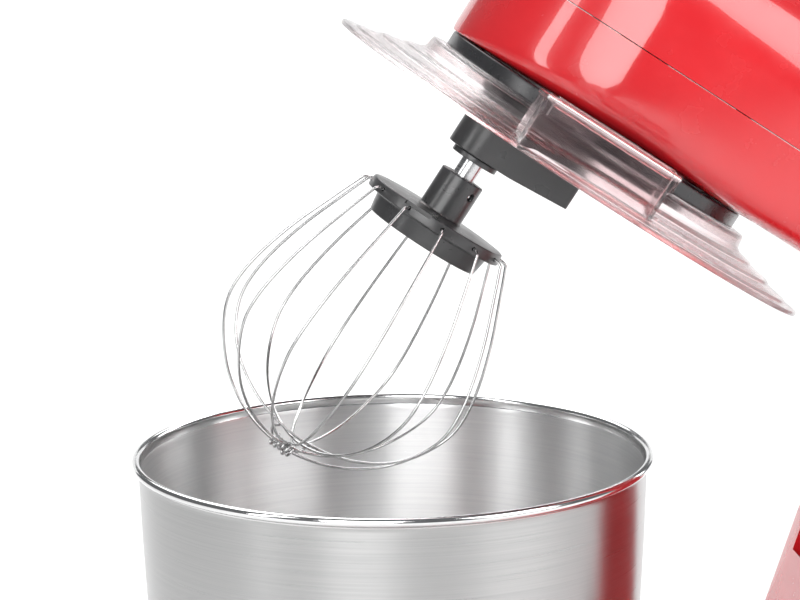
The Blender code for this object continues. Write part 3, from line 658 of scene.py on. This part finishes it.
def whisk_hub():
    """A socket for the shaft over a flange and skirt, holed for the wires and slotted for the drive pin."""
    profile = [(0.0100, HUB_HEIGHT), (0.0100, 0.0006, 0.0012), (0.0320, 0.0), (0.0325, -0.0050),
               (0.0273, -0.0053, 0.0010), (0.0260, -0.0135), (0.0235, -0.0135), (0.0240, -0.0060, 0.0015),
               (0.0070, -0.0055, 0.0015), (0.0070, -0.0052), (0.0006, -0.0052, 0), (0.0006, 0.0010, 0),
               (0.0053, 0.0010, 0), (0.0053, HUB_HEIGHT)]
    turn = Matrix.Rotation(PIN_TURN, 4, "Z")
    groove = box((-0.0087, -0.0018, PIN_HEIGHT - 0.0018), (0.0087, 0.0018, HUB_HEIGHT + 0.0060))
    across = turn @ moved(z=PIN_HEIGHT) @ ACROSS
    steps = [("DIFFERENCE", groove, turn), ("DIFFERENCE", rod(0.0019, -0.012, 0.012, 32), across)]
    for k in range(2 * LOOPS):
        hole = Matrix.Rotation(math.pi * k / LOOPS + WHISK_TURN, 4, "Z") @ moved(z=WIRE_HOLE_Z) @ ACROSS
        steps.append(("DIFFERENCE", rod(WIRE_R + 0.0003, 0.0250, 0.0350, 16), hole))
    notch = box((0.0300, -0.0065, -0.0016), (0.0340, 0.0065, 0.0010))
    steps.append(("DIFFERENCE", notch, Matrix.Rotation(NOTCH_TURN, 4, "Z")))
    mesh = shaped(turned(rounded(profile, 0.0007), 144, ring=True), *steps)
    shown("hub_moulding", mesh, BLACK, "whisk", TOOL, ("whisk_hub",), sharp=30)


def whisk():
    """The hub, its wire loops and the binding."""
    whisk_hub()
    where = TOOL @ Matrix.Rotation(WHISK_TURN, 4, "Z")
    for k in range(LOOPS):
        mesh = wire_mesh(loop_path(k), WIRE_R, 14)
        shown(f"whisk_wire_{k + 1}", mesh, WIRE, "whisk", where, (f"wire_loop_{k + 1}",), sharp=60)
    mesh = wire_mesh(binding_path(), BINDING_R, 12)
    shown("whisk_binding", mesh, WIRE, "whisk", where, ("tip_binding",), sharp=60)


# ---------------------------------------------------------------- planetary arm and spindle
ARM_BOTTOM = FLANGE_Z + 0.0295
ARM_END = 0.0061
ARM_RISE, RISE_FROM = math.tan(math.radians(3.6)), -0.0225


def planet_arm():
    """A bar whose underside rises inwards from the boss, under the disc that closes the head."""
    corner = 0.0014
    circles = [(-ORBIT, 0, BOSS_R)]
    circles += [(ARM_END - corner, side * (BOSS_R - corner), corner) for side in (1, -1)]
    bar = eased_prism(circles, ARM_BOTTOM, 0.2120, 0.0006, 240, 4)
    low, start, end = 0.17, -0.0240, 0.0200
    slope = [(start, low), (end, low), (end, ARM_BOTTOM + ARM_RISE * (end - RISE_FROM)),
             (start, ARM_BOTTOM + ARM_RISE * (start - RISE_FROM))]
    wedge = prism([(x, -z) for x, z in slope], -0.03, 0.03)
    edge = [(0.0006, 0.2112), (0.0500, 0.2112), (0.0500, 0.2170), (0.0006, 0.2170)]
    disc = turned(rounded(edge, 0.0010), 144, ring=True)
    steps = [("DIFFERENCE", wedge, Matrix.Rotation(-math.pi / 2, 4, "X")), ("UNION", disc, AT),
             ("DIFFERENCE", rod(0.0063, 0.2055, 0.2200), AT),
             ("DIFFERENCE", rod(0.0053, 0.1700, 0.2200), moved(x=-ORBIT)),
             ("DIFFERENCE", rod(0.0082, 0.1700, ARM_BOTTOM + 0.0120), moved(x=-ORBIT))]
    shown("arm_moulding", shaped(bar, *steps), BLACK, "planet", HEAD, ("planet_arm",),
          sharp=30)
    flange = 0.0106
    bush = [(flange, ARM_BOTTOM - 0.0027), (flange, ARM_BOTTOM - 0.0003), (0.0079, ARM_BOTTOM - 0.0003, 0),
            (0.0079, ARM_BOTTOM + 0.0115), (0.0053, ARM_BOTTOM + 0.0115), (0.0053, ARM_BOTTOM - 0.0027)]
    mesh = turned(rounded(bush, 0.0004), 96, ring=True)
    shown("bush_moulding", mesh, BLACK, "planet", HEAD @ moved(x=-ORBIT), ("arm_bush",))


def spindle():
    """The plain steel shaft that carries the whisk, and the pin across it."""
    bottom, top = 0.0018, head_box("tool_shaft")[1].z - FLANGE_Z
    shaft = [(0.0006, bottom), (0.0042, bottom), (0.0050, bottom + 0.0010), (0.0050, top), (0.0006, top)]
    turn = Matrix.Rotation(PIN_TURN, 4, "Z") @ moved(z=PIN_HEIGHT) @ ACROSS
    cross_hole = ("DIFFERENCE", rod(0.0018, -0.01, 0.01, 24), turn)
    mesh = shaped(turned(rounded(shaft, 0.0003), 64, ring=True), cross_hole)
    shown("spindle_shaft", mesh, STEEL, "tool_spindle", TOOL, ("tool_shaft",))
    half = 0.0083
    pin = rounded([(0.0002, -half), (0.0015, -half), (0.0015, half), (0.0002, half)], 0.0005)
    shown("spindle_pin", turned(pin, 32, ring=True), POLISHED, "tool_spindle", TOOL @ turn, ("drive_pin",))


# ---------------------------------------------------------------- splash guard
CHUTE_X, CHUTE_HALF = in_head("guard_flap_hinge").x, 0.032
FLAP_Y, FLAP_Z = in_head("guard_flap_hinge").y, in_head("guard_flap_hinge").z
CHUTE_NEAR, CHUTE_FAR = FLAP_Y + 0.0022, -0.0820
CHUTE_BOTTOM, CHUTE_TOP = 0.2035, FLAP_Z - 0.0015
EAR_IN, EAR_OUT = 0.0285, 0.0315


def corner_circles(x_half, near, far, radius):
    """Four circles in the corners of a rectangle, as (x, y, radius)."""
    return [(CHUTE_X + side * (x_half - radius), y, radius)
            for side in (-1, 1) for y in (near + radius, far - radius)]


def splash_guard():
    """Clear moulding: a flat rim, two ledges, and a neck that snaps inside the trim ring."""
    bottom, sheet = head_box("splash_guard")[0].z, 0.0018
    upper = [(GUARD_R, bottom + 0.0020), (0.1088, bottom + 0.0022), (0.1078, bottom + 0.0034),
             (0.0985, bottom + 0.0050), (0.0975, bottom + 0.0062), (0.0880, bottom + 0.0078),
             (0.0870, bottom + 0.0088), (0.0812, bottom + 0.0100), (0.0790, bottom + 0.0115),
             (0.0782, TRIM_BOTTOM - 0.0002), (0.0722, TRIM_BOTTOM + 0.0002)]
    lower = [(0.0722, TRIM_BOTTOM - 0.0014), (0.0762, TRIM_BOTTOM - 0.0019), (0.0772, bottom + 0.0095),
             (0.0800, bottom + 0.0074), (0.0855, bottom + 0.0066), (0.0863, bottom + 0.0056),
             (0.0960, bottom + 0.0040), (0.0970, bottom + 0.0028), (0.1066, bottom + 0.0012),
             (0.1082, bottom), (GUARD_R, bottom)]
    ring = turned(rounded(upper + lower, 0.0007, 3), 192, ring=True)
    walls = prism(hull_outline(corner_circles(CHUTE_HALF, CHUTE_NEAR, CHUTE_FAR, 0.003), 96), CHUTE_BOTTOM,
                  CHUTE_TOP)
    inner = corner_circles(CHUTE_HALF - sheet, CHUTE_NEAR + sheet, CHUTE_FAR - sheet, 0.0015)
    steps = [("UNION", walls, AT)]
    for side in (-1, 1):
        low, high = sorted((CHUTE_X + side * EAR_IN, CHUTE_X + side * EAR_OUT))
        ear = box((low, FLAP_Y - 0.0021, CHUTE_TOP - 0.0050), (high, CHUTE_NEAR + 0.0008, CHUTE_TOP - 0.0004))
        tip = box((low, FLAP_Y - 0.0021, CHUTE_TOP - 0.0010), (high, FLAP_Y + 0.0019, FLAP_Z + 0.0019))
        steps += [("UNION", ear, AT), ("UNION", tip, AT)]
    steps.append(("DIFFERENCE", prism(hull_outline(inner, 96), 0.19, 0.23), AT))
    steps.append(("DIFFERENCE", rod(0.0013, -0.04, 0.04, 24), moved(CHUTE_X, FLAP_Y, FLAP_Z) @ ACROSS))
    shown("guard_moulding", shaped(ring, *steps), CLEAR, "guard", HEAD, ("splash_guard",),
          sharp=30)


def guard_flap():
    """The chute's lid, with a hinge barrel between the ears, a lifting tab and a grip rib."""
    depth = CHUTE_FAR - FLAP_Y
    under, top = -0.0010, 0.0008
    half = CHUTE_HALF + 0.0005
    corners = [(side * (half - 0.0025), y, 0.0025) for side in (-1, 1) for y in (0.0055, depth - 0.0025)]
    lid = eased_prism(corners, under, top, 0.0004, 96, 3)
    barrel = EAR_IN - 0.0005
    tab_corners = [(x, depth + y, 0.0020) for y in (0.0012, -0.0020) for x in (-0.0060, 0.0060)]
    tab = eased_prism(tab_corners, under + 0.0002, top + 0.0005, 0.0004, 64, 3)
    grip = box((-0.0240, 0.0120, top - 0.0002), (0.0240, 0.0135, top + 0.0006))
    steps = [("UNION", rod(0.0023, -barrel, barrel, 40), ACROSS),
             ("UNION", box((0.0005 - barrel, 0.0, under), (barrel - 0.0005, 0.0040, top - 0.0001)), AT),
             ("UNION", tab, AT), ("UNION", grip, AT), ("DIFFERENCE", rod(0.0012, -0.04, 0.04, 24), ACROSS)]
    where = HEAD @ moved(CHUTE_X, FLAP_Y, FLAP_Z)
    shown("flap_moulding", shaped(lid, *steps), CLEAR, "flap", where, ("guard_flap",),
          sharp=30)
    end = EAR_OUT + 0.0006
    pin = rounded([(0.0002, -end), (0.0009, -end), (0.0009, end), (0.0002, end)], 0.0003)
    shown("flap_axle", turned(pin, 24, ring=True), POLISHED, "flap", where @ ACROSS, ("flap_pin",))


# ---------------------------------------------------------------- head casing
# low x, low z, high x, high z, half width, squareness below, squareness above
NECK_SECTIONS = [
    (0.010, HEAD_FLOOR, 0.008, 0.3274, 0.0738, 8, 2.4),
    (0.050, HEAD_FLOOR, 0.052, 0.3284, 0.0733, 8, 2.4),
    (0.085, HEAD_FLOOR, 0.096, 0.3245, 0.0700, 7, 2.4),
    (0.113, 0.2243, 0.131, 0.3130, 0.0630, 6, 2.5),
    (0.138, 0.2195, 0.163, 0.2960, 0.0550, 5, 2.7),
    (0.160, 0.2095, 0.194, 0.2690, 0.0480, 5, 3.0),
    (0.176, 0.1950, 0.220, 0.2380, 0.0425, 5, 3.5),
    (0.187, 0.1755, 0.241, 0.2050, 0.0395, 6, 5.0),
    (0.1925, 0.1570, 0.2545, 0.1730, 0.0381, 8, 8.0),
    (0.1955, 0.1400, 0.2625, 0.1460, 0.0378, 8, 8.0),
]


CROWN_LOW, CROWN_RISE, CROWN_X = 0.0317, 0.070, 0.020  # the least height, what the arch adds, and its top


def nose_section(angle):
    """The section where the rounded nose, seen from above, has turned this far from its tip."""
    x = -HEAD_R * math.cos(angle)
    reach = (x - CROWN_X) / (HEAD_R + CROWN_X + 0.0002)
    crown = CROWN_LOW + CROWN_RISE * math.sqrt(1 - reach**2)
    return x, HEAD_FLOOR, x, HEAD_FLOOR + crown, HEAD_R * math.sin(angle), 8, 2.4


def section_ring(row):
    """The points of one section, a rounded box that is squarer below than above."""
    points = 128
    x0, z0, x1, z1, half_width, below, above = row
    centre, up = Vector(((x0 + x1) / 2, (z0 + z1) / 2)), Vector(((x1 - x0) / 2, (z1 - z0) / 2))
    ring = []
    for k in range(points):
        angle = math.tau * (k + 0.5) / points
        cos, sin = math.cos(angle), math.sin(angle)
        power = 2 / (above if sin > 0 else below)
        across = half_width * math.copysign(abs(cos) ** power, cos)
        spot = centre + up * math.copysign(abs(sin) ** power, sin)
        ring.append((spot.x, across, spot.y))
    return ring


def head_form():
    """The whole casing as one smooth body, with the barrel that turns between the cheeks."""
    nose = [nose_section(math.radians(angle)) for angle in (1.5, 3, 5, 8, 12, 17, 23, 30, 38, 46, 54, 62, 70)]
    lead = nose_section(math.radians(78))
    behind = curve_through([nose[-1], lead] + NECK_SECTIONS, 6)
    rings = [section_ring(row) for row in nose[:-1] + behind]
    barrel = turned(rounded([(0.0006, -BARREL_HALF), (BARREL_R, -BARREL_HALF), (BARREL_R, BARREL_HALF),
                             (0.0006, BARREL_HALF)], 0.0012), 144, ring=True)
    return shaped(lofted(rings), ("UNION", barrel, moved(HINGE_X, 0, HINGE_Z) @ QUARTER))


def head_casing():
    """Two red shells parted by a fine gap, and the black ring round the head's opening."""
    casing_wall = 0.0026
    form = head_form()
    below = half_of(form, PARTING_Z - PARTING_GAP / 2, keep_above=False)
    opening = rod(0.0582, 0.2150, 0.2400, 128)
    mesh = shaped(below, ("DIFFERENCE", opening, AT), thickness=casing_wall)
    shown("head_casing_lower", mesh, RED, "head", HEAD, ("head_lower_shell",), sharp=32,
          baked=True)
    above = half_of(form, PARTING_Z + PARTING_GAP / 2, keep_above=True)
    mesh = shaped(above, thickness=casing_wall)
    shown("head_casing_upper", mesh, RED, "head", HEAD, ("head_upper_shell",), sharp=32,
          baked=True)
    top = HEAD_FLOOR - 0.0004
    ring = [(0.0720, TRIM_BOTTOM), (0.0720, top), (0.0580, top), (0.0580, TRIM_BOTTOM)]
    mesh = turned(rounded(ring, 0.0009), 192, ring=True)
    shown("trim_band", mesh, BAND, "head", HEAD, ("trim_ring",))


# ---------------------------------------------------------------- base and column
PLATE = [(0, 0, 0.1045), (0.242, 0.035, 0.0392), (0.242, -0.035, 0.0392)]
COLUMN = [(0.185, 0.033, 0.022), (0.185, -0.033, 0.022), (0.247, 0.030, 0.025), (0.247, -0.030, 0.025)]
PLATE_BOTTOM, BASE_WALL = 0.0065, 0.003
SLOT_R = BARREL_R + 0.0016
GLAND_X = 0.272


def stack(circles, levels, points=192):
    """A solid round the circles through levels of (height, how far the outline is pulled in)."""
    rings = []
    for z, amount in levels:
        rings.append([(x, y, z) for x, y in hull_outline(inset(circles, amount), points)])
    return lofted(rings)


def cheek_form():
    """The column's side view, thick across the mixer, with its edges rounded."""
    outline = [(0, 0, 0.041), (0.150 - HINGE_X, -HINGE_Z, 0.01), (0.290 - HINGE_X, -HINGE_Z, 0.01)]
    rings = []
    ease, half = 0.0045, CHEEK_FACE + 0.0002
    turns = [math.pi / 2 * k / 6 for k in range(7)]
    levels = [(-half + ease * (1 - math.sin(a)), ease * (1 - math.cos(a))) for a in turns[::-1]]
    levels += [(-y, amount) for y, amount in levels[::-1]]
    for y, amount in levels:
        edge = hull_outline(inset(outline, amount), 192)
        rings.append([(HINGE_X + x, y, HINGE_Z + z) for x, z in edge])
    return lofted(rings)


def base_form():
    """The plate's levels, rounded over at its top edge."""
    ease = 0.009
    turns = [math.pi / 2 * k / 8 for k in range(9)]
    levels = [(PLATE_BOTTOM, 0.0010), (PLATE_BOTTOM + 0.0010, 0.0), (0.0120, 0.0)]
    levels += [(BASE_TOP - ease + ease * math.sin(a), ease * (1 - math.cos(a))) for a in turns]
    return stack(PLATE, levels)


def column_form():
    """The column, which flares out where it meets the plate."""
    shares = [k / 12 for k in range(13)]
    flare = [(BASE_TOP - 0.002 + 0.028 * t, -0.0085 * (1 - t) ** 2.4) for t in shares]
    return shaped(stack(COLUMN, flare + [(0.180, 0.0005)]), ("INTERSECT", cheek_form(), AT))


def column_hollow():
    """The room for the electrics, which draws back at its top from the neck."""
    inside = inset(COLUMN, BASE_WALL)
    high = [(x + (0.018 if x < 0.2 else 0), y, r) for x, y, r in inside]
    levels = ((0.016, inside), (0.050, inside), (HINGE_Z - SLOT_R - BASE_WALL, high))
    return lofted([[(x, y, z) for x, y in hull_outline(circles, 96)] for z, circles in levels])


def base_casing():
    """The plate and the column in one, slotted for the neck and holed for the pin, dial, light and latch."""
    slot = [(0, 0, SLOT_R)]
    slot += [(x - HINGE_X, 0.192 - HINGE_Z, 0.006) for x in (0.160, 0.300)]
    opening = prism(hull_outline(slot, 160), -BARREL_HALF - 0.0005, BARREL_HALF + 0.0005)
    hinge = moved(HINGE_X, 0, HINGE_Z) @ QUARTER
    dial, latch = in_base("speed_dial"), in_base("latch_turn")
    light = middle("power_light") - BOWL_AXIS
    hollow = stack(inset(PLATE, BASE_WALL), [(0.004, 0.0), (0.0170, 0.0), (BASE_TOP - BASE_WALL, 0.007)], 96)
    steps = [("UNION", column_form(), AT), ("DIFFERENCE", opening, hinge), ("DIFFERENCE", hollow, AT),
             ("DIFFERENCE", column_hollow(), AT), ("DIFFERENCE", rod(0.0064, -0.07, 0.07), hinge),
             ("DIFFERENCE", rod(0.0045, 0.04, 0.07), moved(dial.x, 0, dial.z) @ QUARTER),
             ("DIFFERENCE", rod(0.0030, 0.04, 0.07), moved(light.x, 0, light.z) @ QUARTER),
             ("DIFFERENCE", rod(0.0053, 0.04, 0.07), moved(latch.x, 0, latch.z) @ FAR),
             ("DIFFERENCE", rod(0.0045, 0.08, 0.12), moved(HINGE_X)),
             ("DIFFERENCE", rod(0.0073, -0.01, 0.01), moved(GLAND_X, 0, middle("cord_gland").z) @ ACROSS)]
    mesh = shaped(base_form(), *steps)
    shown("base_casing", mesh, RED, "base", BASE, ("base_shell",), sharp=32)


def underside():
    """The plate under the base, with vents and recessed screws."""
    low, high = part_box("base_plate")
    under = eased_prism(inset(PLATE, 0.0033), low.z, high.z, 0.0006, 192, 3)
    vents = []
    for x in (0.195 + 0.008 * k for k in range(6)):
        slit = eased_prism([(x, -0.018, 0.0014), (x, 0.018, 0.0014)], 0.0, 0.02, 0.0001, 32, 1)
        vents.append(("DIFFERENCE", slit, AT))
    screws = [(-0.075, 0.0), (0.030, 0.088), (0.030, -0.088), (0.150, 0.062), (0.150, -0.062)]
    wells = [("DIFFERENCE", rod(0.0050, 0.0, low.z + 0.0016), moved(x, y)) for x, y in screws]
    mesh = shaped(under, *vents, *wells)
    shown("base_underside", mesh, BLACK, "base", BASE, ("base_plate",), sharp=30)
    head = rounded([(0.0002, low.z + 0.0003), (0.0042, low.z + 0.0003), (0.0042, low.z + 0.0013),
                    (0.0002, low.z + 0.0013)], 0.0004)
    for k, (x, y) in enumerate(screws):
        cross = [("DIFFERENCE", box((-0.0024, -0.0005, 0.0), (0.0024, 0.0005, low.z + 0.0009)),
                  Matrix.Rotation(math.pi / 2 * arm, 4, "Z")) for arm in range(2)]
        mesh = shaped(turned(head, 40, ring=True), *cross)
        shown(f"underside_screw_{k + 1}", mesh, STEEL, "base", BASE @ moved(x, y), sharp=30)


def feet():
    """Rubber pads, hollow underneath."""
    cup = [(0.0006, 0.0), (0.0085, 0.0), (0.0090, 0.0008), (0.0105, 0.0008), (0.0110, 0.0), (0.0135, 0.0),
           (0.0150, 0.0012), (0.0125, 0.0030, 0.0015), (0.0115, 0.0057), (0.0006, 0.0057)]
    for name in FEET:
        spot = middle(name)
        mesh = turned(rounded(cup, 0.0004), 72, ring=True)
        shown(f"{name}_pad", mesh, RUBBER, "base", moved(spot.x, spot.y), (name,))


def socket_ring():
    """The ring that the bowl's foot stands in."""
    top = BASE_TOP + 0.0050
    socket = [(0.0580, BASE_TOP + 0.0003), (0.0580, top - 0.0016), (0.0560, top), (0.0510, top),
              (0.0500, top - 0.0010), (0.0500, BASE_TOP + 0.0003)]
    mesh = turned(rounded(socket, 0.0008), 144, ring=True)
    shown("socket_ring", mesh, BLACK, "base", BASE, ("bowl_socket",))


def cord_gland():
    """The ribbed rubber sleeve that a cord would come out of."""
    gland = [(0.0070, -0.0100), (0.0070, -0.0004), (0.0060, 0.0002), (0.0058, 0.0016), (0.0050, 0.0022),
             (0.0056, 0.0030), (0.0048, 0.0038), (0.0052, 0.0048), (0.0048, 0.0060), (0.0036, 0.0060),
             (0.0036, -0.0100)]
    where = BASE @ moved(GLAND_X, 0, middle("cord_gland").z) @ ACROSS
    mesh = turned(rounded(gland, 0.0004), 64, ring=True)
    shown("gland_moulding", mesh, RUBBER, "base", where, ("cord_gland",))


def hinge_caps():
    """Chromed caps with a ring groove over both ends of the hinge pin."""
    cap = [(0.0006, CHEEK_FACE + 0.0003), (0.0150, CHEEK_FACE + 0.0003), (0.0150, 0.0570), (0.0135, 0.0585),
           (0.0095, 0.0588), (0.0090, 0.0580), (0.0080, 0.0580), (0.0075, 0.0590), (0.0006, 0.0590)]
    for name, turn in (("hinge_cap_near", QUARTER), ("hinge_cap_far", FAR)):
        mesh = turned(rounded(cap, 0.0006), 96, ring=True)
        where = BASE @ moved(HINGE_X, 0, HINGE_Z) @ turn
        shown(f"{name}_cover", mesh, CHROME, "base", where, (name,))


def ribbed_outline(radius, depth, ribs):
    """A circle with shallow rounded ribs."""
    points = 240
    outline = []
    for k in range(points):
        angle = math.tau * k / points
        r = radius - depth * (0.5 - 0.5 * math.cos(ribs * angle)) ** 2
        outline.append((r * math.cos(angle), r * math.sin(angle)))
    return outline


def speed_dial():
    """A ribbed knob with a white pointer, over a bright plate with a scale of ticks."""
    spot = in_base("speed_dial")
    where = BASE @ moved(spot.x, 0, spot.z) @ QUARTER
    dial_knob(where)
    dial_bezel(where)


def dial_knob(where):
    """The knob's ribbed grip, dished on top, with its spindle and pointer."""
    face = CHEEK_FACE + 0.0024
    grip = ribbed_outline(0.0172, 0.0010, 20)
    levels = [(face, 0.97), (face + 0.0006, 1.0), (0.0680, 0.955), (0.0692, 0.935), (0.0699, 0.90),
              (0.0702, 0.86), (0.0702, 0.80)]
    knob = lofted([[(x * share, y * share, z) for x, y in grip] for z, share in levels])
    hollow = [(0.0006, 0.0698), (0.0120, 0.0698), (0.0128, 0.0720), (0.0006, 0.0720)]
    dish = turned(rounded(hollow, 0.0006), 96, ring=True)
    steps = [("DIFFERENCE", dish, AT), ("UNION", rod(0.0035, 0.0478, 0.0600), AT)]
    shown("dial_knob", shaped(knob, *steps), BLACK, "dial", where, ("speed_knob",), sharp=30)
    mark = eased_prism([(0.0, 0.0045, 0.0008), (0.0, 0.0110, 0.0008)], 0.0699, 0.0703, 0.0001, 32, 2)
    shown("dial_pointer", mark, PRINT, "dial", where)


def dial_bezel(where):
    """The bright plate behind the knob, with a longer tick at every third place."""
    ring = [(0.0050, CHEEK_FACE + 0.0003), (0.0225, CHEEK_FACE + 0.0003), (0.0225, CHEEK_FACE + 0.0012),
            (0.0218, CHEEK_FACE + 0.0018), (0.0050, CHEEK_FACE + 0.0018)]
    plate = turned(rounded(ring, 0.0003), 144, ring=True)
    shown("dial_bezel", plate, STEEL, "base", where, ("dial_plate",))
    for k in range(7):
        turn = Matrix.Rotation(math.radians(90 - 45 * k), 4, "Z")
        tick = eased_prism([(0.0192, 0.0, 0.0004), (0.0192 + (0.0016 if k % 3 else 0.0022), 0.0, 0.0004)],
                           CHEEK_FACE + 0.0018, CHEEK_FACE + 0.0020, 0.00005, 24, 1)
        shown(f"dial_tick_{k + 1}", tick, BLACK, "base", where @ turn)


def power_light():
    """A small blue lens beside the dial."""
    light = middle("power_light") - BOWL_AXIS
    lens = [(0.0002, 0.0500), (0.0026, 0.0500), (0.0026, CHEEK_FACE + 0.0003, 0),
            (0.0040, CHEEK_FACE + 0.0003), (0.0036, CHEEK_FACE + 0.0012), (0.0018, CHEEK_FACE + 0.0017),
            (0.0002, CHEEK_FACE + 0.0018)]
    mesh = turned(rounded(lens, 0.0003), 48, ring=True)
    where = BASE @ moved(light.x, 0, light.z) @ QUARTER
    shown("light_lens_cap", mesh, LENS, "base", where, ("power_light",))


def latch():
    """The head lock's lever, with finger ridges, its shaft and the cam that moves the bolt."""
    spot = in_base("latch_turn")
    where = BASE @ moved(spot.x, 0, spot.z) @ FAR
    face = CHEEK_FACE + 0.0008
    handle = eased_prism([(0, 0, 0.0085), (-0.032, 0, 0.0055)], face, face + 0.0065, 0.0014, 144, 5)
    cam = prism(hull_outline([(0, 0, 0.0070), (0.0078, 0, 0.0030)], 64), 0.0060, 0.0125)
    ridges = [("DIFFERENCE", box((-0.0345 + 0.0026 * k, -0.0070, face + 0.0058),
                                 (-0.0333 + 0.0026 * k, 0.0070, face + 0.0070)), AT) for k in range(5)]
    steps = [("UNION", rod(0.0047, 0.0120, face + 0.0020), AT), ("UNION", cam, AT)] + ridges
    shown("latch_handle", shaped(handle, *steps), BLACK, "lever", where, ("latch_lever",),
          sharp=30)


# ---------------------------------------------------------------- inner parts keep their CAD shapes
def paint_inner_parts():
    """Gives each carried-over CAD mesh its own finish."""
    finishes = {
        CAST: ("gear_frame", "bearing_bridge", "ring_gear"),
        STEEL: ("main_bearing_lower", "main_bearing_upper", "main_shaft", "motor_shaft", "motor_can",
                "motor_pulley", "idler_shaft", "hinge_pin", "latch_spring", "lock_bolt"),
        BLACK: ("motor_end_cap", "motor_fan", "idler_pulley", "speed_switch"),
        COPPER: ("armature", "commutator", "brush_near", "brush_far"),
        NYLON: ("main_gear", "idler_pinion", "planet_pinion"),
        RUBBER: ("drive_belt",),
        BOARD: ("control_board",),
    }
    for finish, names in finishes.items():
        for name in names:
            data = frame["nodes"][name].data
            data.materials.clear()
            data.materials.append(finish)


# ---------------------------------------------------------------- floor, light and camera
def stage():
    """A plain pale floor."""
    mesh = bpy.data.meshes.new("floor")
    half = 14.0
    corners = [(-half, -half, 0), (half, -half, 0), (half, half, 0), (-half, half, 0)]
    mesh.from_pydata(corners, [], [(0, 1, 2, 3)])
    floor = bpy.data.objects.new("floor", mesh)
    bpy.context.scene.collection.objects.link(floor)
    mesh.materials.append(surface("floor", (0.86, 0.86, 0.86), 0.6))


def area_light(name, place, aim, width, height, power):
    """A rectangle of light, turned to its aim and hidden from the camera."""
    data = bpy.data.lights.new(name, "AREA")
    data.shape = "RECTANGLE"
    data.size = width
    data.size_y = height
    data.energy = power
    made = bpy.data.objects.new(name, data)
    bpy.context.scene.collection.objects.link(made)
    made.location = place
    made.rotation_euler = (Vector(aim) - Vector(place)).to_track_quat("-Z", "Y").to_euler()
    made.visible_camera = False


def soft_box(name, aim, azimuth, elevation, distance, width, height, radiance):
    """A square-on soft box of an even brightness, seen from the aim at this azimuth and elevation."""
    a, e = math.radians(azimuth), math.radians(elevation)
    away = Vector((math.sin(a) * math.cos(e), -math.cos(a) * math.cos(e), math.sin(e)))
    power = radiance * math.pi * width * height
    area_light(name, Vector(aim) + distance * away, aim, width, height, power)


def lights():
    """Soft boxes round the front and sides, and two broad ones over and behind the back."""
    bowl = (BOWL_AXIS.x, 0.0, 0.18)
    soft_box("key_box", bowl, -22, 29, 1.9, 1.0, 1.5, 5.2)
    soft_box("right_box", bowl, 49, 29, 2.1, 1.35, 1.5, 4.4)
    soft_box("left_strip", bowl, -66, 29, 1.9, 0.3, 1.5, 5.5)
    soft_box("far_box", bowl, 124, 27, 2.1, 0.6, 1.4, 4.5)
    soft_box("back_box", (0.0, 2.8, 0.0), 180, 88, 2.8, 4.0, 4.4, 3.0)
    soft_box("horizon_box", bowl, 176, 6, 4.4, 5.0, 1.4, 0.9)
    world = bpy.data.worlds.new("studio")
    world.use_nodes = True
    world.node_tree.nodes["Background"].inputs["Color"].default_value = (0.95, 0.97, 1.0, 1.0)
    world.node_tree.nodes["Background"].inputs["Strength"].default_value = 0.16
    bpy.context.scene.world = world


CAMERA_DISTANCE = 1.5  # from the middle of the bowl's rim
CAMERA_STANDS = math.radians(-7.4), math.radians(14.09)  # azimuth and elevation from there
CAMERA_AIM = math.radians(-7.555), math.radians(11.613)  # how far it turns from +Y, and looks down
CAMERA_ROLL = math.radians(-0.66)
CAMERA_LENS = 157.0


def camera():
    """A long lens, in front of the bowl and a little above it."""
    azimuth, elevation = CAMERA_STANDS
    back = Vector((math.sin(azimuth) * math.cos(elevation), -math.cos(azimuth) * math.cos(elevation),
                   math.sin(elevation)))
    spot = BOWL_AXIS + Vector((0, 0, RIM_Z)) + CAMERA_DISTANCE * back
    data = bpy.data.cameras.new("camera")
    data.lens = CAMERA_LENS
    data.sensor_width = 36.0
    made = bpy.data.objects.new("camera", data)
    bpy.context.scene.collection.objects.link(made)
    turn = Matrix.Rotation(CAMERA_AIM[0], 4, "Z") @ Matrix.Rotation(math.pi / 2 - CAMERA_AIM[1], 4, "X")
    made.matrix_world = Matrix.Translation(spot) @ turn @ Matrix.Rotation(CAMERA_ROLL, 4, "Z")
    bpy.context.scene.camera = made


# ---------------------------------------------------------------- the whole scene
camera()
lights()
stage()
bowl()
whisk()
planet_arm()
spindle()
splash_guard()
guard_flap()
head_casing()
base_casing()
underside()
feet()
socket_ring()
cord_gland()
hinge_caps()
speed_dial()
power_light()
latch()
paint_inner_parts()
bpy.context.scene.view_settings.view_transform = "Standard"
